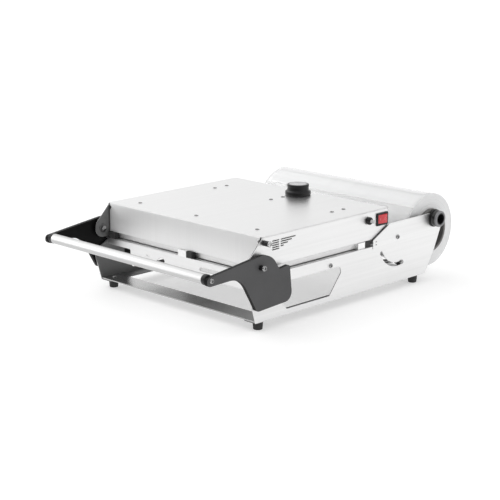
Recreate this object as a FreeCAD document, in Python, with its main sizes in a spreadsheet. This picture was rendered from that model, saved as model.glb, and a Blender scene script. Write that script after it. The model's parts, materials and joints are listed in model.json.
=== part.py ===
"""Tray sealing machine: a heated head hinged over a tray deck, with a pull-down handle and a film roll.

Lengths are in millimetres.  X runs from left to right as seen from the front, Y from front to back
and Z up.  The origin lies on the table top, at the middle of the machine's width and depth.
"""
import FreeCAD, Part
import math
import os
from types import SimpleNamespace

import Sketcher
from FreeCAD import Placement, Rotation, Vector

SIZES = {
    # frame: two bent side plates on rubber feet
    "side_margin": 63.0,
    "wall_sheet": 2.0,
    "foot_height": 17.0,
    "foot_radius": 10.0,
    "foot_taper": 1.5,
    "foot_inset": 14.0,
    "foot_front_inset": 20.0,
    "foot_rear_inset": 22.5,
    "foot_screw_radius": 2.5,
    "foot_screw_depth": 9.0,
    "flange_width": 28.0,
    "strip_depth": 42.0,
    "foot_edge_reach": 13.0,
    "rear_knee_run": 28.0,
    "nose_reach": 30.0,
    "nose_drop": 25.1,
    "nose_round": 7.0,
    "nose_back_run": 13.0,
    "deck_height": 101.6,
    "step_inset": 9.0,
    "step_rise": 11.4,
    "relief_width": 2.0,
    "relief_depth": 5.0,
    "shoulder_run": 4.0,
    "shoulder_crest": 11.9,
    "shoulder_round": 8.0,
    "rear_knee_reach": 3.25,
    "rear_knee_height": 62.8,
    "rear_knee_round": 12.0,
    "horn_length": 8.0,
    "horn_drop": 5.0,
    "horn_lean": 20.0,
    # cut-outs of the side plates
    "window_front_inset": 46.5,
    "window_chamfer": 22.0,
    "window_low": 28.0,
    "window_drop": 21.6,
    "window_rear_inset": 135.0,
    "window_lean": 42.5,
    "window_curl": 9.0,
    "window_round": 6.0,
    "window_low_round": 2.0,
    "slot_clearance": 0.75,
    "slot_run_out": 3.0,
    # hinge of the head, and its counterbalance springs
    "hinge_run": 27.3,
    "hinge_rise": 6.5,
    "hinge_rod_radius": 5.0,
    "head_opening": 75.0,
    "lever_reach": 55.0,
    "lever_angle": -75.5,
    "lever_sheet": 3.0,
    "lever_eye": 13.0,
    "lever_foot": 7.0,
    "lever_root": 28.0,
    "lever_height": 20.0,
    "lever_throat": 8.0,
    "lever_throat_round": 4.0,
    "lever_waist": 1.0,
    "lever_waist_drop": 4.0,
    "lever_waist_round": 6.0,
    "lever_heel_rise": 2.0,
    "lever_crest": 4.0,
    "lever_foot_flat": 0.5,
    "bush_wall": 2.0,
    "bush_flange": 1.5,
    "spring_pin_radius": 3.0,
    "anchor_run": 198.3,
    "anchor_drop": 14.8,
    "anchor_radius": 3.0,
    "rod_screw_depth": 12.0,
    "spacer_wall": 3.0,
    "spring_radius": 4.0,
    "spring_wire": 0.9,
    "spring_hook": 9.0,
    "screw_head_radius": 4.6,
    "screw_head_height": 2.6,
    "running_gap": 0.05,
    "free_gap": 0.3,
    # deck with the tray frame
    "deck_sheet": 2.0,
    "deck_front_margin": 38.0,
    "deck_rear_margin": 38.0,
    "deck_lip": 8.0,
    "deck_round": 4.0,
    "apron_height": 33.0,
    "apron_shoulder": 12.6,
    "apron_shoulder_inset": 12.0,
    "apron_round": 3.0,
    "drain_slot_x": -92.0,
    "drain_slot_length": 7.0,
    "drain_slot_drop": 17.4,
    "drain_slot_height": 2.0,
    "finger_hole_x": -64.0,
    "finger_hole_length": 28.0,
    "finger_hole_drop": 21.6,
    "finger_hole_height": 7.5,
    "card_slot_x": 57.0,
    "card_slot_length": 55.0,
    "card_slot_drop": 18.6,
    "card_slot_height": 6.5,
    "card_slot_round": 3.0,
    "well_y": -57.5,
    "well_width": 304.0,
    "well_depth": 244.0,
    "well_round": 22.0,
    "frame_flange": 8.0,
    "frame_margin": 22.0,
    "frame_lap": 10.0,
    "frame_round": 6.0,
    "gasket_offset": 2.0,
    "gasket_width": 6.0,
    "gasket_groove": 1.5,
    "gasket_height": 2.2,
    "knife_offset": 13.5,
    "knife_groove_width": 4.0,
    "knife_groove_depth": 5.0,
    # stops that the closed head comes down on
    "front_stop_x": -2.0,
    "front_stop_length": 22.0,
    "front_pad_length": 15.0,
    "side_stop_inset": 50.5,
    "side_stop_length": 20.0,
    "side_pad_length": 16.0,
    "corner_pad_inset": 23.0,
    "corner_pad_length": 19.0,
    "stop_reach": 5.7,
    # head: folded cover, side plates with ears, inner pan and sealing plate
    "head_side_gap": 4.5,
    "head_sheet": 1.5,
    "head_front_inset": 6.0,
    "head_rear_reach": 38.5,
    "head_height": 57.4,
    "head_lift": 12.4,
    "head_bend": 3.0,
    "front_relief": 2.5,
    "corner_notch_width": 5.0,
    "corner_notch_height": 11.0,
    "corner_notch_peak": 4.0,
    "pan_gap": 5.0,
    "pan_front_gap": 6.0,
    "pan_rear_gap": 6.0,
    "pan_lift": 1.4,
    "pan_height": 33.0,
    "pan_window": 18.0,
    "rear_notch": 23.0,
    "vent_inset": 28.0,
    "vent_short": 18.0,
    "vent_bridge": 4.0,
    "vent_drop": 11.4,
    "vent_pitch": 4.0,
    "vent_length": 61.0,
    "vent_slant": 10.3,
    "vent_height": 1.8,
    "plate_thickness": 12.0,
    "plate_margin": 9.0,
    "plate_round": 14.0,
    "knife_sheet": 1.2,
    "knife_dip": 3.5,
    "knife_height": 30.0,
    "tooth_pitch": 8.0,
    "tooth_depth": 3.0,
    "element_radius": 4.0,
    "element_bend": 20.0,
    "blanket_thickness": 20.0,
    "blanket_gap": 1.0,
    "blanket_margin": 1.0,
    "stud_radius": 3.0,
    "stud_head_radius": 4.0,
    "stud_head_height": 1.0,
    "stud_side_margin": 9.0,
    "stud_front_inset": 8.0,
    "stud_middle_inset": 32.0,
    "stud_rear_reach": 2.0,
    # handle: two profiled arms and a bar
    "ear_reach": 16.5,
    "ear_lift": 8.3,
    "ear_round": 18.0,
    "ear_flat": 0.2,
    "ear_root_inset": 2.0,
    "ear_root_run": 7.0,
    "ear_root_round": 7.0,
    "ear_brow": 10.0,
    "ear_brow_round": 16.0,
    "ear_apex_drop": 3.9,
    "arm_gap": 2.0,
    "arm_thickness": 8.0,
    "bar_reach": 120.0,
    "bar_drop": 0.8,
    "bar_radius": 9.5,
    "bar_wall": 1.5,
    "bar_end": 9.0,
    "arm_end_reach": 9.75,
    "arm_end_low": 10.3,
    "arm_end_high": 5.3,
    "arm_end_round": 7.0,
    "arch_reach": 70.5,
    "arch_drop": 7.9,
    "arch_round": 46.0,
    "lobe_front": 8.3,
    "lobe_drop": 80.1,
    "lobe_rear": 82.5,
    "lobe_rear_drop": 74.8,
    "lobe_rear_round": 17.0,
    "notch_y": 75.3,
    "notch_drop": 8.0,
    "notch_round": 4.5,
    "heel_y": 48.5,
    "heel_drop": 11.7,
    "crown_y": 26.0,
    "crown_rise": 23.7,
    "crown_round": 41.0,
    "bolt_radius": 3.0,
    "bolt_head_radius": 5.0,
    "bolt_head_height": 3.0,
    "plug_length": 12.0,
    "pivot_radius": 4.0,
    "pivot_head": 5.5,
    "pivot_nut": 3.5,
    "washer_radius": 9.0,
    "washer_sheet": 1.0,
    "spacer_radius": 8.0,
    "sleeve_length": 8.5,
    "sleeve_radius": 5.0,
    "stop_inset": 6.0,
    "stop_drop": 10.7,
    "stop_screw_radius": 2.5,
    # thermostat, switch, lamp and cable gland
    "knob_x": 6.5,
    "knob_inset": 36.5,
    "knob_skirt_radius": 26.0,
    "knob_skirt_height": 9.0,
    "knob_grip_radius": 22.2,
    "knob_height": 22.0,
    "knob_disc_radius": 18.0,
    "knob_lift": 0.5,
    "knob_disc_depth": 1.5,
    "knob_disc_crown": 0.4,
    "shaft_radius": 3.0,
    "shaft_grip": 12.0,
    "shaft_socket": 8.5,
    "thermostat_radius": 19.0,
    "thermostat_depth": 26.0,
    "switch_inset": 18.0,
    "switch_drop": 20.0,
    "switch_length": 33.0,
    "switch_width": 25.4,
    "switch_rim": 2.4,
    "switch_stand": 3.0,
    "switch_depth": 22.0,
    "switch_wall": 1.0,
    "switch_floor": 4.0,
    "rocker_pivot_depth": 4.0,
    "rocker_back": 6.0,
    "rocker_reach": 5.5,
    "rocker_tilt": 8.0,
    "lamp_inset": 58.5,
    "lamp_drop": 17.6,
    "lamp_radius": 7.5,
    "lamp_length": 8.0,
    "lens_radius": 3.6,
    "lens_length": 9.0,
    "lens_seat": 3.0,
    "lamp_stem_radius": 5.0,
    "lamp_stem_length": 8.0,
    "gland_inset": 18.5,
    "gland_drop": 19.4,
    "gland_radius": 9.0,
    "gland_length": 16.0,
    "gland_step": 1.0,
    "gland_taper": 3.5,
    "gland_bore": 4.0,
    "gland_thread_radius": 6.0,
    "gland_thread_length": 10.0,
    # film roll on its spindle, and the guide roller
    "spindle_run": 115.45,
    "roll_floor_gap": 4.9,
    "spindle_radius": 12.0,
    "spindle_bore": 10.0,
    "spindle_reach": 17.0,
    "bearing_wall": 2.0,
    "bearing_flange_radius": 18.0,
    "bearing_flange": 3.0,
    "collar_radius": 16.5,
    "core_bore": 39.0,
    "core_wall": 5.0,
    "roll_radius": 75.0,
    "film_side_gap": 2.0,
    "core_end_gap": 2.0,
    "guide_radius": 10.0,
    "guide_end_gap": 2.0,
    "film_sheet": 0.4,
    "film_lap": 4.5,
}


class Size:
    """A length or an angle that knows both its number and the sheet formula that gives it."""

    def __init__(self, number, formula):
        self.number = float(number)
        self.formula = formula

    def __add__(self, other):
        other = sized(other)
        return Size(self.number + other.number, f"({self.formula} + {other.formula})")

    def __sub__(self, other):
        other = sized(other)
        return Size(self.number - other.number, f"({self.formula} - {other.formula})")

    def __mul__(self, other):
        other = sized(other)
        return Size(self.number * other.number, f"({self.formula} * {other.formula})")

    def __truediv__(self, other):
        other = sized(other)
        return Size(self.number / other.number, f"({self.formula} / {other.formula})")

    def __neg__(self):
        return Size(-self.number, f"(0 - {self.formula})")

    def __radd__(self, other):
        return sized(other) + self

    def __rsub__(self, other):
        return sized(other) - self

    def __rmul__(self, other):
        return sized(other) * self


def sized(value):
    """Any number as a Size."""
    return value if isinstance(value, Size) else Size(value, repr(float(value)))


def cosine(angle):
    """The cosine of a Size in degrees."""
    return Size(math.cos(math.radians(angle.number)), f"cos({angle.formula} * 1 deg)")


def sine(angle):
    """The sine of a Size in degrees."""
    return Size(math.sin(math.radians(angle.number)), f"sin({angle.formula} * 1 deg)")


doc = FreeCAD.newDocument("TraySealer")
sheet = doc.addObject("Spreadsheet::Sheet", "Sizes")
for row, (alias, value) in enumerate(SIZES.items(), start=1):
    sheet.set(f"A{row}", alias)
    sheet.set(f"B{row}", str(value))
    sheet.setAlias(f"B{row}", alias)
doc.recompute()

S = SimpleNamespace(**{alias: Size(value, f"Sizes.{alias}") for alias, value in SIZES.items()})

# Places that follow from the tray well: first the deck, then what stands on it, then the head

well_front_y = S.well_y - S.well_depth / 2
well_rear_y = S.well_y + S.well_depth / 2
S.base_width = S.well_width + 2 * S.side_margin
S.deck_front_y = well_front_y - S.deck_front_margin
S.deck_rear_y = well_rear_y + S.deck_rear_margin
S.apron_shoulder_x = S.apron_shoulder_inset - S.well_width / 2
S.drain_slot_low = S.deck_height - S.drain_slot_drop
S.finger_hole_low = S.deck_height - S.finger_hole_drop
S.card_slot_low = S.deck_height - S.card_slot_drop
S.side_stop_y = S.deck_rear_y - S.side_stop_inset
S.head_width = S.base_width - 2 * S.head_side_gap
S.head_front_y = S.deck_front_y + S.head_front_inset
S.head_rear_y = S.deck_rear_y + S.head_rear_reach
S.head_bottom = S.deck_height + S.head_lift
S.head_top = S.head_bottom + S.head_height
S.pan_bottom = S.deck_height + S.pan_lift
S.pan_top = S.pan_bottom + S.pan_height
S.stud_side_x = S.well_width / 2 + S.stud_side_margin
S.stud_front_y = well_front_y + S.stud_front_inset
S.stud_middle_y = well_rear_y - S.stud_middle_inset
S.stud_rear_y = well_rear_y + S.stud_rear_reach

# Places on the head's sides and top

S.vent_front_y = S.head_front_y + S.vent_inset
S.vent_end_y = S.vent_front_y + S.vent_length
S.vent_top = S.head_top - S.vent_drop
S.ear_y = S.head_front_y - S.ear_reach
S.ear_height = S.head_bottom + S.ear_lift
S.ear_apex_height = S.head_top - S.ear_apex_drop
S.stop_y = S.head_front_y + S.stop_inset
S.stop_height = S.head_top - S.stop_drop
S.knob_y = S.head_rear_y - S.knob_inset
S.switch_y = S.head_rear_y - S.switch_inset
S.switch_height = S.head_top - S.switch_drop
S.lamp_y = S.head_rear_y - S.lamp_inset
S.lamp_height = S.head_top - S.lamp_drop
S.gland_y = S.head_rear_y - S.gland_inset
S.gland_height = S.head_top - S.gland_drop
S.arm_inside_x = S.base_width / 2 + S.arm_gap
S.bar_y = S.ear_y - S.bar_reach
S.bar_height = S.ear_height - S.bar_drop

# Places of the hinge, the film and the side plates' outline

S.hinge_y = S.head_rear_y + S.hinge_run
S.hinge_height = S.deck_height + S.hinge_rise
S.anchor_y = S.hinge_y - S.anchor_run
S.anchor_height = S.deck_height - S.anchor_drop
S.shoulder_y = S.head_rear_y + S.shoulder_run
S.step_y = S.deck_rear_y - S.step_inset
S.step_height = S.deck_height + S.step_rise
S.spindle_y = S.hinge_y + S.spindle_run
S.spindle_height = (S.foot_height + 2 * S.wall_sheet + S.roll_floor_gap + S.roll_radius
                    + S.core_bore - S.spindle_radius - S.free_gap)
S.shoulder_height = S.spindle_height + S.shoulder_crest
S.film_end_y = S.deck_rear_y - S.film_lap
S.rear_knee_y = S.spindle_y + S.rear_knee_reach
S.wall_foot_front_y = S.deck_front_y - S.foot_edge_reach
S.wall_foot_rear_y = S.rear_knee_y - S.rear_knee_run
S.foot_front_y = S.wall_foot_front_y + S.foot_front_inset
S.foot_rear_y = S.wall_foot_rear_y - S.foot_rear_inset
S.nose_y = S.deck_front_y - S.nose_reach
S.nose_height = S.deck_height - S.nose_drop
S.nose_back_y = S.deck_front_y + S.nose_back_run
S.window_front_y = S.deck_front_y + S.window_front_inset
S.window_high = S.deck_height - S.window_drop
S.window_rear_low_y = S.deck_rear_y - S.window_rear_inset
S.window_rear_high_y = S.window_rear_low_y + S.window_lean

ZERO = sized(0.0)
LEFT = -1
RIGHT = 1
nodes = []


def bind(feature, prop, size):
    """Ties a property of a feature to the sheet."""
    feature.setExpression(prop, sized(size).formula)


def node(label, feature):
    """Names a finished sub-part; its label is also its file's name."""
    feature.Label = label
    nodes.append(feature)
    return feature


# Helpers for solids


def place(feature, x, y, z):
    """Ties a feature's place to the sheet."""
    for prop, size in (("x", x), ("y", y), ("z", z)):
        bind(feature, f"Placement.Base.{prop}", size)


TURNS = {
    "up": Rotation(),
    "right": Rotation(Vector(0, 1, 0), 90),
    "left": Rotation(Vector(0, 1, 0), -90),
    "back": Rotation(Vector(1, 0, 0), -90),
    "down": Rotation(Vector(1, 0, 0), 180),
}


def box(name, x_range, y_range, z_range):
    """A block between two values on each axis."""
    block = doc.addObject("Part::Box", name)
    for prop, (low, high) in (("Length", x_range), ("Width", y_range), ("Height", z_range)):
        bind(block, prop, sized(high) - low)
    place(block, x_range[0], y_range[0], z_range[0])
    return block


def rod(name, radius, length, start, way="up"):
    """A cylinder that leaves its start point along one of the named ways."""
    cylinder = doc.addObject("Part::Cylinder", name)
    bind(cylinder, "Radius", radius)
    bind(cylinder, "Height", length)
    cylinder.Placement = Placement(Vector(), TURNS[way])
    place(cylinder, *start)
    return cylinder


def cross_rod(name, radius, x_range, y, z):
    """A cylinder along X between two values."""
    return rod(name, radius, sized(x_range[1]) - x_range[0], (x_range[0], y, z), "right")


def cut(name, base, *tools):
    """The base with every tool taken away."""
    result = doc.addObject("Part::Cut", name)
    result.Base = base
    result.Tool = tools[0] if len(tools) == 1 else fuse(name + "Tools", *tools)
    return result


def fuse(name, *shapes):
    """Several overlapping solids as one."""
    result = doc.addObject("Part::MultiFuse", name)
    result.Shapes = list(shapes)
    return result


def group(name, *shapes):
    """Several separate solids that share a node."""
    result = doc.addObject("Part::Compound", name)
    result.Links = list(shapes)
    return result


def tube(name, outer, inner, x_range, y, z):
    """A tube along X."""
    spare = 1.0
    bore = cross_rod(name + "Bore", inner, (x_range[0] - spare, x_range[1] + spare), y, z)
    return cut(name, cross_rod(name + "Outer", outer, x_range, y, z), bore)


def side_span(side, near, far):
    """The X range of a piece that lies between two distances from the middle, on one side."""
    return (sized(near), sized(far)) if side == RIGHT else (-sized(far), -sized(near))


def add_sketch(body, plane, offset):
    """A sketch on one of the body's own origin planes, moved along the plane's normal."""
    sketch = body.newObject("Sketcher::SketchObject", body.Name + "Sketch")
    origin_plane = next(item for item in body.Origin.OriginFeatures if item.Role == plane)
    sketch.AttachmentSupport = (origin_plane, [""])
    sketch.MapMode = "FlatFace"
    bind(sketch, "AttachmentOffset.Base.z", offset)
    return sketch


def fix_point(sketch, index, which, x, y):
    """Holds a point of the sketch at a place from the sheet."""
    for kind, axis, size in (("DistanceX", -2, x), ("DistanceY", -1, y)):
        if size.number == 0.0:
            sketch.addConstraint(Sketcher.Constraint("PointOnObject", index, which, axis))
            continue
        number = sketch.addConstraint(Sketcher.Constraint(kind, -1, 1, index, which, size.number))
        sketch.setExpression(f"Constraints[{number}]", size.formula)


def outline(sketch, corners):
    """A closed loop, anticlockwise, through corners (x, y) or (x, y, radius).

    Each corner is a fixed point.  A plain corner joins its two lines; a rounded one is only on them,
    and an arc tangent to both carries the radius.
    """
    corners = [tuple(sized(value) for value in corner) for corner in corners]
    points = [Vector(corner[0].number, corner[1].number, 0) for corner in corners]
    count = len(corners)
    ends = []
    for index, corner in enumerate(corners):
        before = (points[index - 1] - points[index]).normalize()
        after = (points[(index + 1) % count] - points[index]).normalize()
        if len(corner) < 3:
            ends.append((points[index], points[index], None))
            continue
        half = before.getAngle(after) / 2
        radius = corner[2].number
        run = radius / math.tan(half)
        middle = points[index] + (before + after).normalize() * (radius / math.sin(half))
        ends.append((points[index] + before * run, points[index] + after * run, middle))
    lines = []
    for index in range(count):
        start = ends[index][1]
        stop = ends[(index + 1) % count][0]
        lines.append(sketch.addGeometry(Part.LineSegment(start, stop)))
    for index, corner in enumerate(corners):
        fixed = sketch.addGeometry(Part.Point(points[index]), True)
        fix_point(sketch, fixed, 1, corner[0], corner[1])
        come = lines[index - 1]
        leave = lines[index]
        start, stop, middle = ends[index]
        if middle is None:
            sketch.addConstraint(Sketcher.Constraint("Coincident", come, 2, fixed, 1))
            sketch.addConstraint(Sketcher.Constraint("Coincident", leave, 1, fixed, 1))
            continue
        turn = (points[index] - points[index - 1]).cross(points[(index + 1) % count] - points[index]).z
        circle = Part.Circle(middle, Vector(0, 0, 1), corner[2].number)
        if turn > 0:
            arc = Part.ArcOfCircle(circle, circle.parameter(start), circle.parameter(stop))
            come_end, leave_end = 1, 2
        else:
            arc = Part.ArcOfCircle(circle, circle.parameter(stop), circle.parameter(start))
            come_end, leave_end = 2, 1
        bend = sketch.addGeometry(arc)
        sketch.addConstraint(Sketcher.Constraint("PointOnObject", fixed, 1, come))
        sketch.addConstraint(Sketcher.Constraint("PointOnObject", fixed, 1, leave))
        sketch.addConstraint(Sketcher.Constraint("Tangent", come, 2, bend, come_end))
        sketch.addConstraint(Sketcher.Constraint("Tangent", leave, 1, bend, leave_end))
        number = sketch.addConstraint(Sketcher.Constraint("Radius", bend, corner[2].number))
        sketch.setExpression(f"Constraints[{number}]", corner[2].formula)


def hole(sketch, x, y, radius):
    """A circle of the sketch."""
    x, y, radius = sized(x), sized(y), sized(radius)
    index = sketch.addGeometry(Part.Circle(Vector(x.number, y.number, 0), Vector(0, 0, 1), radius.number))
    fix_point(sketch, index, 3, x, y)
    number = sketch.addConstraint(Sketcher.Constraint("Radius", index, radius.number))
    sketch.setExpression(f"Constraints[{number}]", radius.formula)


def rectangle(low, high, round_corner=None):
    """The four corners of a rectangle, anticlockwise, rounded if a radius is given."""
    corners = [(low[0], low[1]), (high[0], low[1]), (high[0], high[1]), (low[0], high[1])]
    return corners if round_corner is None else [corner + (round_corner,) for corner in corners]


def new_body(name):
    """An empty body."""
    return doc.addObject("PartDesign::Body", name)


def pad(body, plane, offset, length, *loops, holes=()):
    """Adds the material inside the loops, from the plane's offset along its normal."""
    sketch = add_sketch(body, plane, offset)
    for loop in loops:
        outline(sketch, loop)
    for circle in holes:
        hole(sketch, *circle)
    feature = body.newObject("PartDesign::Pad", body.Name + "Pad")
    feature.Profile = sketch
    bind(feature, "Length", length)
    body.Tip = feature
    return body


def pocket(body, plane, offset, length, *loops, holes=()):
    """Takes away the material inside the loops, from the plane's offset along its normal."""
    sketch = add_sketch(body, plane, offset)
    for loop in loops:
        outline(sketch, loop)
    for circle in holes:
        hole(sketch, *circle)
    feature = body.newObject("PartDesign::Pocket", body.Name + "Pocket")
    feature.Profile = sketch
    feature.Reversed = True
    bind(feature, "Length", length)
    body.Tip = feature
    return body


def side_plate(name, side, near, far, *loops, holes=()):
    """A flat plate in the Y-Z plane, between two distances from the middle."""
    low, high = side_span(side, near, far)
    return pad(new_body(name), "YZ_Plane", low, high - low, *loops, holes=holes)


def turned(name, profile, start, way="up"):
    """A solid of revolution: the profile's points are (radius, height) along the named way."""
    body = new_body(name)
    sketch = add_sketch(body, "XZ_Plane", 0.0)
    outline(sketch, profile)
    feature = body.newObject("PartDesign::Revolution", name + "Turn")
    feature.Profile = sketch
    feature.ReferenceAxis = (sketch, ["V_Axis"])
    body.Tip = feature
    body.Placement = Placement(Vector(), TURNS[way])
    place(body, *start)
    return body


def screw(name, shank_radius, shank_length, head_radius, head_height, start, way):
    """A button-head screw: its start is the seat under the head, and the head points the named way."""
    return turned(
        name,
        [
            (0, -shank_length),
            (shank_radius, -shank_length),
            (shank_radius, 0),
            (head_radius, 0),
            (head_radius, head_height * 0.35),
            (head_radius * 0.55, head_height),
            (0, head_height),
        ],
        start,
        way,
    )


def outward(side):
    """The way that points out of the machine on one side."""
    return "right" if side == RIGHT else "left"


SIDES = ((LEFT, "left"), (RIGHT, "right"))

# Places that several pieces share

half_width = S.base_width / 2
wall_inside = half_width - S.wall_sheet
flange_inside = half_width - S.flange_width
floor_plate = S.foot_height + S.wall_sheet
strip_top = floor_plate + S.wall_sheet
head_half = S.head_width / 2
head_inside = head_half - S.head_sheet
pan_half = head_inside - S.pan_gap
lever_outside = head_inside
lever_inside = lever_outside - S.lever_sheet
guide_half = lever_inside - S.guide_end_gap
film_half = lever_inside - S.film_side_gap
core_half = wall_inside - S.core_end_gap
corner_pad_x = head_inside - S.corner_pad_inset
pin_y = S.hinge_y + S.lever_reach * cosine(S.lever_angle)
pin_height = S.hinge_height + S.lever_reach * sine(S.lever_angle)
bearing_radius = S.spindle_radius + S.bearing_wall
roll_height = S.spindle_height + S.spindle_radius + S.free_gap - S.core_bore
core_outside = S.core_bore + S.core_wall


# Side plates, with their windows, hinge holes, spring slots and spindle notches


def wall_outline():
    """The side plate from its front foot, under the nose, along the back and over the top."""
    horn_y = S.spindle_y + bearing_radius + S.horn_length
    horn_top = S.shoulder_height - S.horn_drop
    return [
        (S.wall_foot_front_y, S.foot_height),
        (S.wall_foot_rear_y, S.foot_height),
        (S.rear_knee_y, S.rear_knee_height, S.rear_knee_round),
        (horn_y + S.horn_drop, horn_top - S.horn_lean, S.horn_drop),
        (horn_y, horn_top, S.horn_drop),
        (S.spindle_y, S.shoulder_height),
        (S.shoulder_y, S.shoulder_height, S.shoulder_round),
        (S.step_y, S.step_height),
        (S.step_y, S.deck_height - S.relief_depth),
        (S.step_y - S.relief_width, S.deck_height - S.relief_depth),
        (S.step_y - S.relief_width, S.deck_height),
        (S.nose_back_y, S.deck_height, S.nose_round),
        (S.nose_y, S.nose_height, S.nose_round),
    ]


def window_outline():
    """The window behind the handle arm, with its slanted rear edge."""
    return [
        (S.window_front_y + S.window_chamfer, S.window_low),
        (S.window_rear_low_y, S.window_low, S.window_low_round),
        (S.window_rear_high_y, S.window_high, S.window_curl),
        (S.window_front_y, S.window_high, S.window_round),
        (S.window_front_y, S.window_low + S.window_chamfer, S.window_round),
    ]


def slot_tool(side, span):
    """The curved slot that the spring pin runs in, as a sector of a ring with round ends."""
    half = S.spring_pin_radius + S.slot_clearance
    sweep = S.head_opening + S.slot_run_out
    length = span[1] - span[0]
    sectors = []
    for label, radius in (("Outer", S.lever_reach + half), ("Inner", S.lever_reach - half)):
        sector = doc.addObject("Part::Cylinder", f"Slot{label}")
        bind(sector, "Radius", radius)
        bind(sector, "Height", length)
        bind(sector, "Angle", sweep)
        # The sector starts at local +X; local Z points along +X and local X along the sweep's start.
        start_angle = S.lever_angle.number - sweep.number
        frame = Rotation(Vector(0, 1, 0), Vector(0, 0, 1), Vector(1, 0, 0), "ZXY")
        sector.Placement = Placement(Vector(), Rotation(Vector(1, 0, 0), start_angle).multiply(frame))
        place(sector, span[0], S.hinge_y, S.hinge_height)
        sectors.append(sector)
    ring = cut("SlotRing", *sectors)
    ends = []
    for angle in (S.lever_angle, S.lever_angle - sweep):
        y = S.hinge_y + S.lever_reach * cosine(angle)
        z = S.hinge_height + S.lever_reach * sine(angle)
        ends.append(cross_rod("SlotEnd", half, span, y, z))
    return fuse("SlotTool", ring, *ends)


for side, label in SIDES:
    spare = 1.0
    through = side_span(side, wall_inside - spare, half_width + spare)
    blank = side_plate("Wall", side, wall_inside, half_width, wall_outline())
    low, high = side_span(side, wall_inside, half_width)
    pocket(blank, "YZ_Plane", low, high - low, window_outline())
    low, high = side_span(side, flange_inside, half_width)
    flange = rectangle((low, S.wall_foot_front_y), (high, S.wall_foot_rear_y))
    pad(blank, "XY_Plane", S.foot_height, S.wall_sheet, flange)
    low, high = through
    tools = [
        slot_tool(side, through),
        cross_rod("SpindleNotch", bearing_radius, through, S.spindle_y, S.spindle_height),
        box(
            "SpindleMouth",
            through,
            (S.spindle_y - bearing_radius, S.spindle_y + bearing_radius),
            (S.spindle_height, S.shoulder_height + spare),
        ),
        cross_rod("HingeHole", S.hinge_rod_radius / 2, through, S.hinge_y, S.hinge_height),
        cross_rod("AnchorHole", S.anchor_radius / 2, through, S.anchor_y, S.anchor_height),
    ]
    for y in (S.foot_front_y, S.foot_rear_y):
        start = (side * (half_width - S.foot_inset), y, S.foot_height - spare)
        tools.append(rod("FootHole", S.foot_screw_radius, S.wall_sheet + 2 * spare, start))
    node(f"side_plate_{label}", cut("SidePlate", blank, *tools))

# Cross strips over the flanges, feet and foot screws

for label, (low, high) in (
    ("front", (S.wall_foot_front_y, S.wall_foot_front_y + S.strip_depth)),
    ("rear", (S.wall_foot_rear_y - S.strip_depth, S.wall_foot_rear_y)),
):
    y = S.foot_front_y if label == "front" else S.foot_rear_y
    strip = pad(
        new_body("Strip"),
        "XY_Plane",
        floor_plate,
        S.wall_sheet,
        rectangle((-wall_inside, low), (wall_inside, high)),
        holes=[(side * (half_width - S.foot_inset), y, S.foot_screw_radius) for side in (LEFT, RIGHT)],
    )
    node(f"{label}_cross_strip", strip)

feet = []
foot_screws = []
for side in (LEFT, RIGHT):
    for y in (S.foot_front_y, S.foot_rear_y):
        x = side * (half_width - S.foot_inset)
        profile = [
            (0, 0),
            (S.foot_radius - S.foot_taper, 0, 1.0),
            (S.foot_radius, S.foot_height),
            (S.foot_screw_radius, S.foot_height),
            (S.foot_screw_radius, S.foot_height - S.foot_screw_depth),
            (0, S.foot_height - S.foot_screw_depth),
        ]
        feet.append(turned("Foot", profile, (x, y, ZERO)))
        shank = S.foot_screw_depth + 2 * S.wall_sheet
        foot_screws.append(
            screw("FootScrew", S.foot_screw_radius, shank, S.screw_head_radius, S.screw_head_height,
                  (x, y, strip_top), "up")
        )
node("rubber_feet", group("Feet", *feet))
node("foot_screws", group("FootScrews", *foot_screws))

# Deck: a folded sheet with side lips and a front apron, cut out for the tray frame

frame_half_x = S.well_width / 2 + S.frame_margin
frame_half_y = S.well_depth / 2 + S.frame_margin
deck_low = S.deck_height - S.deck_sheet

deck = pad(
    new_body("Deck"),
    "XY_Plane",
    deck_low,
    S.deck_sheet,
    rectangle((-wall_inside, S.deck_front_y), (wall_inside, S.deck_rear_y)),
    rectangle(
        (-frame_half_x, S.well_y - frame_half_y),
        (frame_half_x, S.well_y + frame_half_y),
        S.deck_round,
    ),
)
for side in (LEFT, RIGHT):
    low, high = side_span(side, wall_inside - S.deck_sheet, wall_inside)
    lip = rectangle((low, S.nose_back_y), (high, S.step_y - S.relief_width))
    pad(deck, "XY_Plane", deck_low - S.deck_lip, S.deck_lip, lip)
apron_low = S.deck_height - S.apron_height
apron_half = head_inside
pad(
    deck,
    "XZ_Plane",
    -(S.deck_front_y + S.deck_sheet),
    S.deck_sheet,
    [
        (S.apron_shoulder_x, apron_low),
        (apron_half, apron_low),
        (apron_half, S.deck_height),
        (-apron_half, S.deck_height),
        (-apron_half, S.deck_height - S.apron_shoulder),
        (S.apron_shoulder_x, S.deck_height - S.apron_shoulder, S.apron_round),
    ],
)
finger_end = S.finger_hole_x + S.finger_hole_length
finger_top = S.finger_hole_low + S.finger_hole_height
pocket(
    deck,
    "XZ_Plane",
    -(S.deck_front_y + S.deck_sheet),
    S.deck_sheet,
    rectangle(
        (S.drain_slot_x, S.drain_slot_low),
        (S.drain_slot_x + S.drain_slot_length, S.drain_slot_low + S.drain_slot_height),
    ),
    [
        (S.finger_hole_x, S.finger_hole_low),
        (finger_end, S.finger_hole_low, S.finger_hole_height * 0.4),
        (finger_end - S.finger_hole_height, finger_top, S.finger_hole_height * 0.65),
        (S.finger_hole_x + S.finger_hole_height * 1.5, finger_top, S.finger_hole_height * 0.8),
    ],
    rectangle(
        (S.card_slot_x, S.card_slot_low),
        (S.card_slot_x + S.card_slot_length, S.card_slot_low + S.card_slot_height),
        S.card_slot_round,
    ),
)
node("deck_plate", deck)

# Tray frame: a stepped aluminium plate under the deck, flush with its top

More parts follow.
